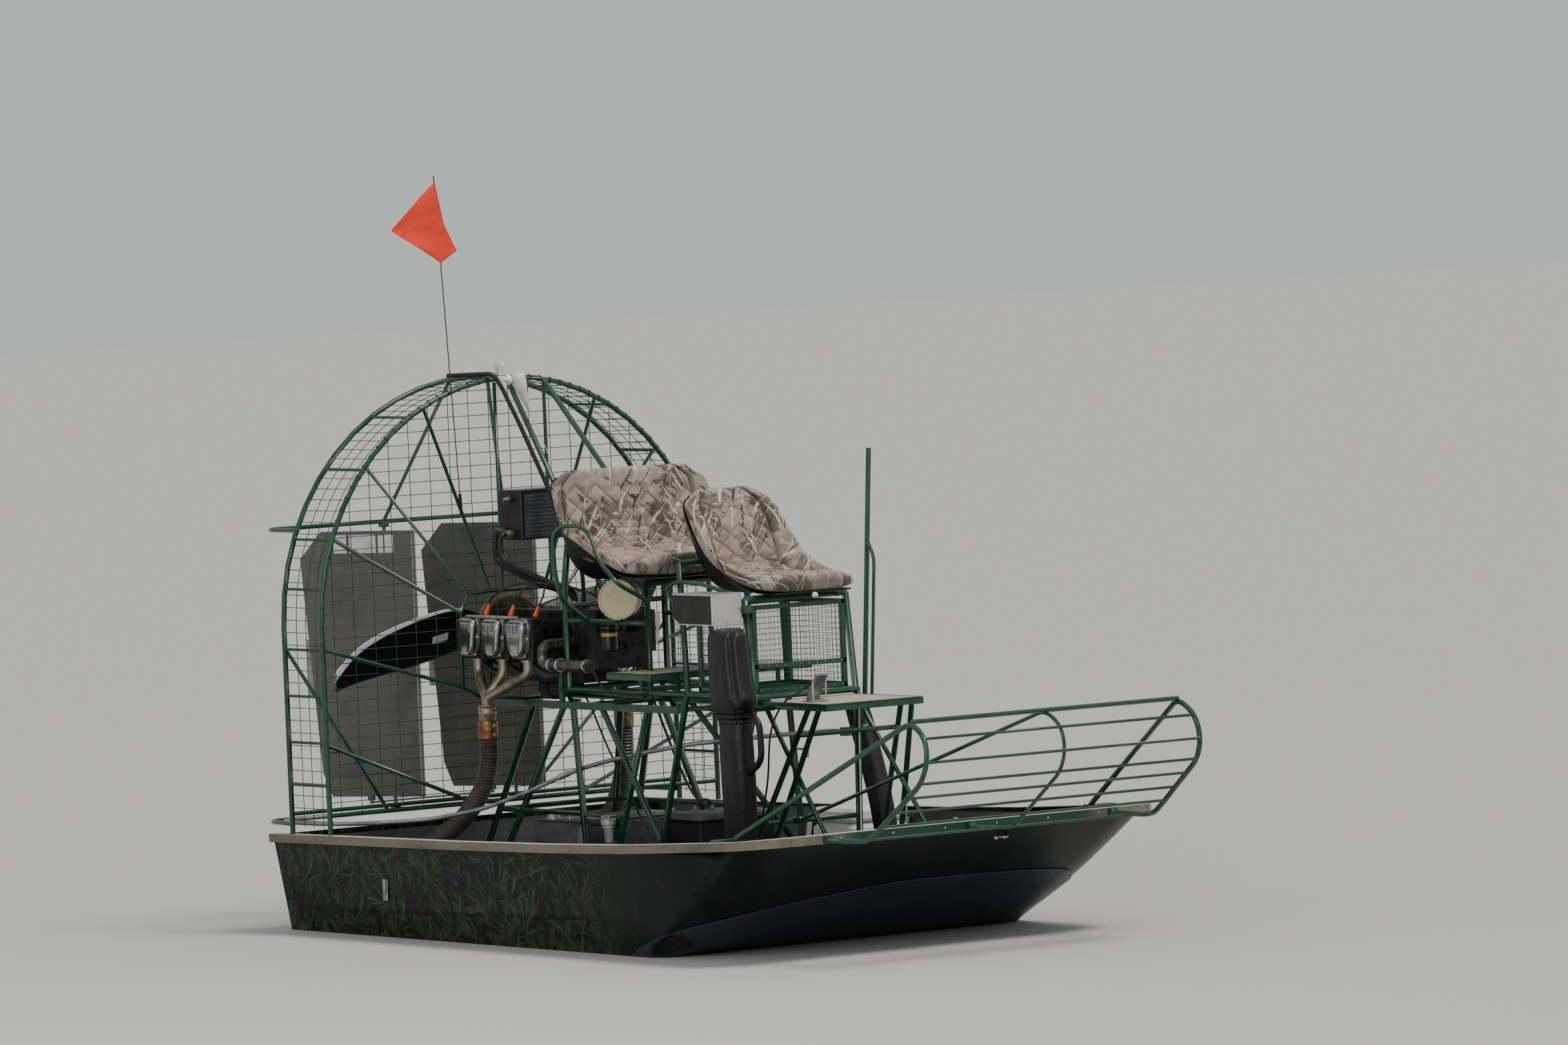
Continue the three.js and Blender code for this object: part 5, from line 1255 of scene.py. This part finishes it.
def gun_boot(stations, side, face=None, sides=64):
    """Boot through stations [z, x, half length, half width]: superellipse rings times a relief of two
    lobes, four columns of pads in three rows at the waist, a seam towards the bow and a framed panel
    below."""
    z, x, length, width = bend(stations, 26).T[:, :, None]
    z = np.clip(np.maximum.accumulate(z), stations[0][0], stations[-1][0])
    a = turns(sides)[None]
    c, s = signed(np.cos(a), 0.68), signed(np.sin(a), 0.68)
    scale = 1.0
    if face is not None:
        off = np.angle(np.exp(1j * (a - face)))
        upper = ramp_array(z, 1100, 1170)
        lobes = 0.05 * mound(off, 0.55, 0.3) + 0.05 * mound(off, -0.6, 0.3) - 0.13 * mound(off, 0, 0.24)
        scale = scale + upper * lobes
        scale = scale + 0.08 * mound(z, 1132, 26) * (mound(off, 0.5, 0.3) + mound(off, -0.5, 0.34))
        scale = scale + 0.035 * ramp_array(z, 1130, 1180) * mound(off, 0.98, 0.07)
        band = ramp_array(z, 1012, 1018) * (1 - ramp_array(z, 1080, 1086)) * (np.abs(off) < 1.45)
        pads = np.abs(np.sin(math.pi * (z - 1016) / 22)) ** 0.4 * np.abs(np.sin(off * 4.2)) ** 0.35
        scale = scale + band * (0.10 * pads - 0.05)
        scale = scale + 0.09 * mound(z, 955, 42) * mound(off, -0.75, 0.42)
        frame_z, frame_a = np.abs(z - 725) / 90, np.abs(off - 0.1) / 0.22
        border = np.maximum(frame_z, frame_a)
        scale = scale + 0.022 * mound(border, 0.95, 0.13) * (border < 1.3)
    middle = side * (443.3 + width)
    return skin(points_at(x + length * c * scale, middle + width * s * scale, z))


BOOT_STARBOARD = [
    [8.3, 2905, 66, 44], [14, 2905, 68, 46], [300, 2911, 76, 50], [700, 2918, 88, 58], [900, 2910, 90, 57],
    [1000, 2904, 86, 54], [1050, 2900, 90, 58], [1095, 2910, 112, 66], [1150, 2906, 119, 69],
    [1260, 2886, 112, 65], [1380, 2872, 106, 61], [1424, 2868, 99, 56], [1443, 2866, 80, 42],
    [1450, 2866, 48, 24],
]
BOOT_PORT = [[8.3, 2784, 54, 42], [300, 2716, 56, 46], [610, 2644, 56, 48], [900, 2540, 60, 48],
             [1000, 2503, 60, 46], [1022, 2495, 50, 38], [1030, 2492, 30, 22]]
grip = [(2972, -499, 1062), (3090, -499, 1045), (3100, -499, 850), (2975, -499, 786)]
handle = evenly(bent_run(grip, 60, 10), 6)
steps = np.arange(len(handle))
thick = 15 + 9 * mound(np.minimum(steps, steps[::-1]), 0, 4.0)
boot = [gun_boot(BOOT_STARBOARD, -1, math.radians(-40), 144), tube(handle, thick, 18)]
piece("gun_boot_starboard_shell", boot, BLACK_PLASTIC, instead_of=["gun_boot_starboard"])
piece("gun_boot_port_shell", gun_boot(BOOT_PORT, 1), BLACK_PLASTIC, instead_of=["gun_boot_port"])


# Basket: angle-iron frame filled with square welded wire

def grid_wires(origin, across, up, gap=25.4, radius=1.1):
    """Wires of a rectangle spanned by two edges from its origin, a gap apart both ways, all as rods."""
    origin, across, up = (np.asarray(v, float) for v in (origin, across, up))
    u = np.arange(gap / 2, np.linalg.norm(across), gap)[:, None] * unit(across)
    v = np.arange(gap / 2, np.linalg.norm(up), gap)[:, None] * unit(up)
    return together([rods(origin + u, origin + u + up, radius),
                     rods(origin + v, origin + v + across, radius)])


# Basket: its ends along the boat, half width, foot and top
X0, X1, HALF, FOOT, HEAD = 2300, 2745, 262, 1132.3, 1535
nets = [grid_wires((X0 + 3, -HALF + 3, FOOT + 3), (X1 - X0 - 6, 0, 0), (0, 2 * HALF - 6, 0))]
nets += [grid_wires((x, -HALF, FOOT), (0, 2 * HALF, 0), (0, 0, HEAD - FOOT)) for x in (X0 + 2, X1 - 2)]
nets += [grid_wires((X0, y, FOOT), (X1 - X0, 0, 0), (0, 0, HEAD - FOOT)) for y in (-HALF + 2, HALF - 2)]
piece("basket_wire", nets, GREEN)
bars = [block((x - 11, y - 11, FOOT), (x + 11, y + 11, HEAD), 2) for x in (X0 + 11, X1 - 11)
        for y in (-HALF + 11, HALF - 11)]
for x in (X0 + 3, X1 - 3):
    bars += [block((x - 3, -HALF, z), (x + 3, HALF, z + 22), 1.5) for z in (FOOT, HEAD - 22)]
for y in (-HALF + 3, HALF - 3):
    bars += [block((X0, y - 3, z), (X1, y + 3, z + 22), 1.5) for z in (FOOT, HEAD - 22)]
bars.append(block((X1 - 6, -HALF, 1243), (X1, HALF, 1265), 1.5))
piece("basket_frame", bars, GREEN, instead_of=["basket"])
rivets = np.vstack([points_at(X1, np.arange(-230, 240, 46.0), z) for z in (FOOT + 11, 1254)])
piece("basket_rivets", copies(screw(3.5, 2.5), rivets, FORWARD), ALUMINIUM)


# Foot platform and passengers' step: expanded metal in a green edge

def expanded_metal(low, high, z, long_way=38.0, short_way=16.0, strand=1.9):
    """Zigzag strands along y in rows half a short way apart: x = row + (-1)^(k + row) short / 4; peaks
    meet."""
    rows = np.arange(low[0] + short_way / 4, high[0], short_way / 2)
    ys = np.arange(low[1], high[1] + 1, long_way / 2)
    j, k = np.meshgrid(np.arange(len(rows)), np.arange(len(ys)), indexing="ij")
    x = rows[j] + (-1.0) ** (j + k) * short_way / 4
    points = points_at(x, np.minimum(ys[k], high[1]), z)
    return rods(points[:, :-1], points[:, 1:], strand, 4)


def edged(low, high, z, width, thick, cut=1.5):
    """Frame of four flat bars round a rectangle."""
    (x0, y0), (x1, y1) = low, high
    return together([block((x0, y0, z), (x0 + width, y1, z + thick), cut),
                     block((x1 - width, y0, z), (x1, y1, z + thick), cut),
                     block((x0 + width, y0, z), (x1 - width, y0 + width, z + thick), cut),
                     block((x0 + width, y1 - width, z), (x1 - width, y1, z + thick), cut)])


piece("platform_tread", expanded_metal((2796, -269), (3294, 269), 1096.5), TREAD, smooth=False)
piece("platform_edge", edged((2790, -275), (3300, 275), 1092.2, 18, 7.5), GREEN,
      instead_of=["driver_platform"])
piece("step_tread", expanded_metal((1856, -454), (2194, 454), 1219.5), TREAD, smooth=False)
piece("step_edge", edged((1850, -460), (2200, 460), 1215.2, 18, 7.5), GREEN, instead_of=["passenger_step"])

pedal = [block((3004, -196, 1100.4), (3100, -104, 1103), 1)]
pedal += [rods((3028, y, 1104), (3028, y, 1122), 5, 12) for y in (-186, -114)]
pedal += [rods((3082, y, 1103), (3084, y, 1190), 4, 12) for y in (-186, -114)]
pedal.append(rods((3084, -190, 1190), (3084, -110, 1190), 4.5, 12))
piece("pedal_bracket", pedal, BRIGHT)
peg = [block((2990, -262, 886), (3110, -236, 894), 2), block((3096, -262, 852), (3104, -236, 892), 2)]
piece("foot_peg", peg, ALUMINIUM)
throttle = [(3060, -150, 1200), (3010, -200, 1150), (2950, -262, 1090), (2900, -300, 960),
            (2850, -300, 700), (2700, -290, 420), (2300, -260, 300), (1900, -250, 420), (1500, -200, 800),
            (1120, -70, 1060), (935, -40, 1100)]
piece("throttle_cable", tube(bend(throttle, 8), 4.5, 8), RUBBER)
knob = turned([(0, 0), (0, 9), (6, 14), (16, 15), (22, 11), (24, 0)], (2868, 0, 1580), (0.5, 0, -0.87), 24)
piece("lip_knob", knob, WHITE)


# In the hull: tank, batteries, bow locker, fuel filter

tank = [block((1010, -325, 50.3), (1390, 325, 500), 14), block((1018, -317, 498), (1382, 317, 503), 2)]
piece("fuel_tank_shell", tank, TANK, instead_of=["fuel_tank"])
cap = [(0, 0), (0, 40), (5, 40), (6, 32), (12, 32), (14, 30), (30, 29), (34, 24), (34, 0)]
spout = [(0, 0), (0, 16), (6, 16), (8, 11), (26, 11), (26, 0)]
caps = [turned(cap, (1075, -250, 502), UP, 36), turned(spout, (1180, -230, 502), UP, 24)]
piece("fuel_cap", caps, BRIGHT)
line = [(1180, -230, 530), (1230, -236, 540), (1310, -260, 536), (1400, -310, 520), (1560, -360, 505),
        (1690, -380, 520)]
piece("fuel_line", tube(bend(line, 8), 11, 12), RUBBER)
bowl = [(0, 0), (0, 14), (8, 22), (70, 26), (74, 32), (86, 32), (90, 38), (112, 38), (118, 30), (118, 0)]
strainer = [turned(bowl, (1720, -390, 420), UP, 32), rods((1720, -430, 548), (1720, -350, 548), 5, 12)]
strainer.append(rods((1720, -390, 536), (1720, -390, 550), 6, 12))
piece("fuel_filter", strainer, BRIGHT)
piece("fuel_filter_bracket", [block((1690, -352, 430), (1760, -346, 545), 2)], GREEN)
# Batteries' middles across the boat
BATTERIES = (-110, 110)
cases = [block((1900, y - 104, 50.3), (2200, y + 104, 520), 8) for y in BATTERIES]
cases += [block((1912, y - 96, 250), (1916, y + 96, 500), 2) for y in BATTERIES]
piece("battery_cases", cases, BLACK_PLASTIC, instead_of=["battery_box"])
lids = [block((1902, y - 102, 520), (2198, y + 102, 556), 9) for y in BATTERIES]
piece("battery_lids", lids, LID)
profile = [(0, 0), (0, 13), (4, 13), (5, 9), (22, 8), (22, 0)]
posts = [turned(profile, (1935, y + side * 62, 556), UP, 20) for y in BATTERIES for side in (-1, 1)]
piece("battery_posts", posts, EXHAUST)
link = [(1935, -48, 574), (1940, -20, 600), (1940, 20, 600), (1935, 48, 574)]
lead = [(1935, 172, 574), (1900, 200, 590), (1780, 230, 520), (1500, 250, 600), (1380, 150, 1000),
        (1340, 90, 1250)]
links = [tube(bend(link, 8), 6, 10), tube(bend(lead, 10), 6, 10)]
piece("battery_leads", links, RUBBER)
chest = [block((2150, 450, 8.3), (2450, 800, 470), 22), block((2150, 450, 474), (2450, 800, 540), 16)]
piece("bow_locker_chest", chest, WHITE, instead_of=["bow_locker"])
catches = [block((2146.5, y - 16, 440), (2151, y + 16, 500), 2) for y in (540, 710)]
piece("bow_locker_catches", catches, BLACK_PLASTIC)


# Rudders: stiffening bars, hinge straps and blank pale labels, turned with each rudder

def on_rudder(shape, side):
    """Turns a shape from the rudder's own frame by its rest angle about its pin."""
    points, blocks = shape
    c, s = math.cos(math.radians(RUDDER_TURN)), math.sin(math.radians(RUDDER_TURN))
    x, y, z = points.T
    return np.stack([RUDDER_X + x * c - y * s, side * RUDDER_Y + x * s + y * c, z], -1), blocks


RUDDERS = (("rudder_starboard", -1), ("rudder_port", 1))
for name, side in RUDDERS:
    straps = []
    for z, reach in ((700, -330), (1210, -380), (1710, -430)):
        for face in (-1, 1):
            low, high = sorted((face * 6.0, face * 9.0))
            straps.append(block((reach, low, z - 14), (150, high, z + 14), 1))
            spots = np.arange(reach + 30, 150, 90.0)
            straps.append(copies(screw(4.5, 3), points_at(spots, face * 9, z), (0, face, 0)))
    piece(name + "_straps", on_rudder(together(straps), side), RUDDER, name)
    sleeves = [ring(0, 14, 60, (0, 0, z), UP, 20) for z in (600, 1150, 1640)]
    piece(name + "_pin_sleeves", on_rudder(together(sleeves), side), RUDDER, name)
for name, side in RUDDERS:
    edges = [block((147, -8.5, 578), (163, 8.5, 1842), 2), block((-452, 3, 1060), (-398, 9, 1330), 1)]
    for y, facing in ((9, PORT), (-6, STARBOARD)):
        edges.append(copies(screw(4.5, 3), [(-412, y, z) for z in range(1075, 1330, 40)], facing))
    piece(name + "_edge_trim", on_rudder(together(edges), side), ALUMINIUM, name)
spans = ((-275, -205), (-190, -45), (-32, 50))
plates = [block((x0, -7.2, 1740), (x1, -6.1, 1828), 0.4) for x0, x1 in spans]
piece("rudder_labels", on_rudder(together(plates), -1), LABEL, "rudder_starboard")


# Pennant: nylon hung from the whip by its hem, in soft folds

def hung_pennant(rows=40, columns=46):
    """Sheet between the whip's line and the free edge; x = sum of two slow waves that grow away from the
    whip."""
    v = np.linspace(0, 1, rows)[:, None]
    u = np.linspace(0, 1, columns)[None]
    inner = np.array([[-388, 3500], [-366, 3400], [-345, 3300], [-312, 3235], [-278, 3172]], float)
    outer = np.array([[-392, 3496], [-520, 3390], [-652, 3282], [-520, 3204], [-372, 3118]], float)
    t = np.linspace(0, 1, 5)
    a, b = (read_at(v[:, 0], t, line)[:, None] for line in (inner, outer))
    yz = a + (b - a) * u[..., None]
    wave = 11 * u**1.2 * np.sin(5.2 * v + 4.1 * u) + 5 * u * np.sin(11.0 * v - 3.0 * u + 1.0)
    x = 511.5 + wave * np.sin(math.pi * np.minimum(v, 1)) ** 0.5
    front = points_at(x + 0.4, yz[..., 0], yz[..., 1])
    back = front - (0.8, 0, 0)
    return skin(np.concatenate([front, back[:, ::-1]], axis=1))


flag = piece("pennant_cloth", hung_pennant(), ORANGE, instead_of=["pennant"])


# Floor, light and camera

# Half width of the floor, in metres
FLOOR_HALF = 90.0
corners = [(x * FLOOR_HALF, y * FLOOR_HALF, 0) for x, y in ((-1, -1), (1, -1), (1, 1), (-1, 1))]
floor_mesh = bpy.data.meshes.new("studio_floor")
floor_mesh.from_pydata(corners, [], [(0, 1, 2, 3)])
floor_mesh.materials.append(material("pale_matt_studio_floor", Base_Color=linear("bbbab7"), Roughness=0.9))
floor = placed("studio_floor", floor_mesh)


def shining(light, watts, colour, away):
    """Gives a light its strength and colour, and turns it to shine against a direction."""
    light.energy, light.color = watts, colour
    away = unit(np.asarray(away, float))
    side = unit(np.cross(UP, away))
    made = placed(light.name, light)
    made.rotation_euler = Matrix(np.stack([side, np.cross(away, side), away], -1).tolist()).to_euler()
    return made


sun = bpy.data.lights.new("key_light", "SUN")
sun.angle = math.radians(16)
shining(sun, 2.3, (1.0, 0.97, 0.92), (0.62, 0.28, 1.15))
softbox = bpy.data.lights.new("side_softbox", "AREA")
softbox.size = 5.0
place = (5.0, -9.0, 4.5)
shining(softbox, 260, (0.96, 0.98, 1.0), np.subtract(place, (0, 0, 1.0))).location = place
world = bpy.data.worlds.new("studio_air")
world.use_nodes = True
air = world.node_tree.nodes["Background"].inputs
air["Color"].default_value = linear("e4e6e8")
air["Strength"].default_value = 0.72
bpy.context.scene.world = world

# Camera solved from the photo, 50 m off the rail's stern corner on the starboard side; shifts are in metres
PHOTO_WIDTH = 2352
FOCAL_PIXELS = 15900
RIGHT = np.array([0.58929, 0.80686, -0.04148])
UPWARD = np.array([-0.01267, 0.06057, 0.99808])
TOWARD = np.array([0.80783, -0.58763, 0.04592])
STERN_CORNER = np.array([-MIDDLE / 1000, -1.145, 0.457])
view = bpy.data.cameras.new("photo_view")
view.sensor_width = 36.0
view.lens = view.sensor_width * FOCAL_PIXELS / PHOTO_WIDTH
view.clip_end = 400.0
camera = placed("photo_view", view)
spot = STERN_CORNER + 50 * TOWARD + 2.43 * RIGHT + 1.474 * UPWARD
axes = Matrix(np.stack([RIGHT, UPWARD, TOWARD], -1).tolist()).to_4x4()
camera.matrix_world = Matrix.Translation(spot.tolist()) @ axes
bpy.context.scene.camera = camera
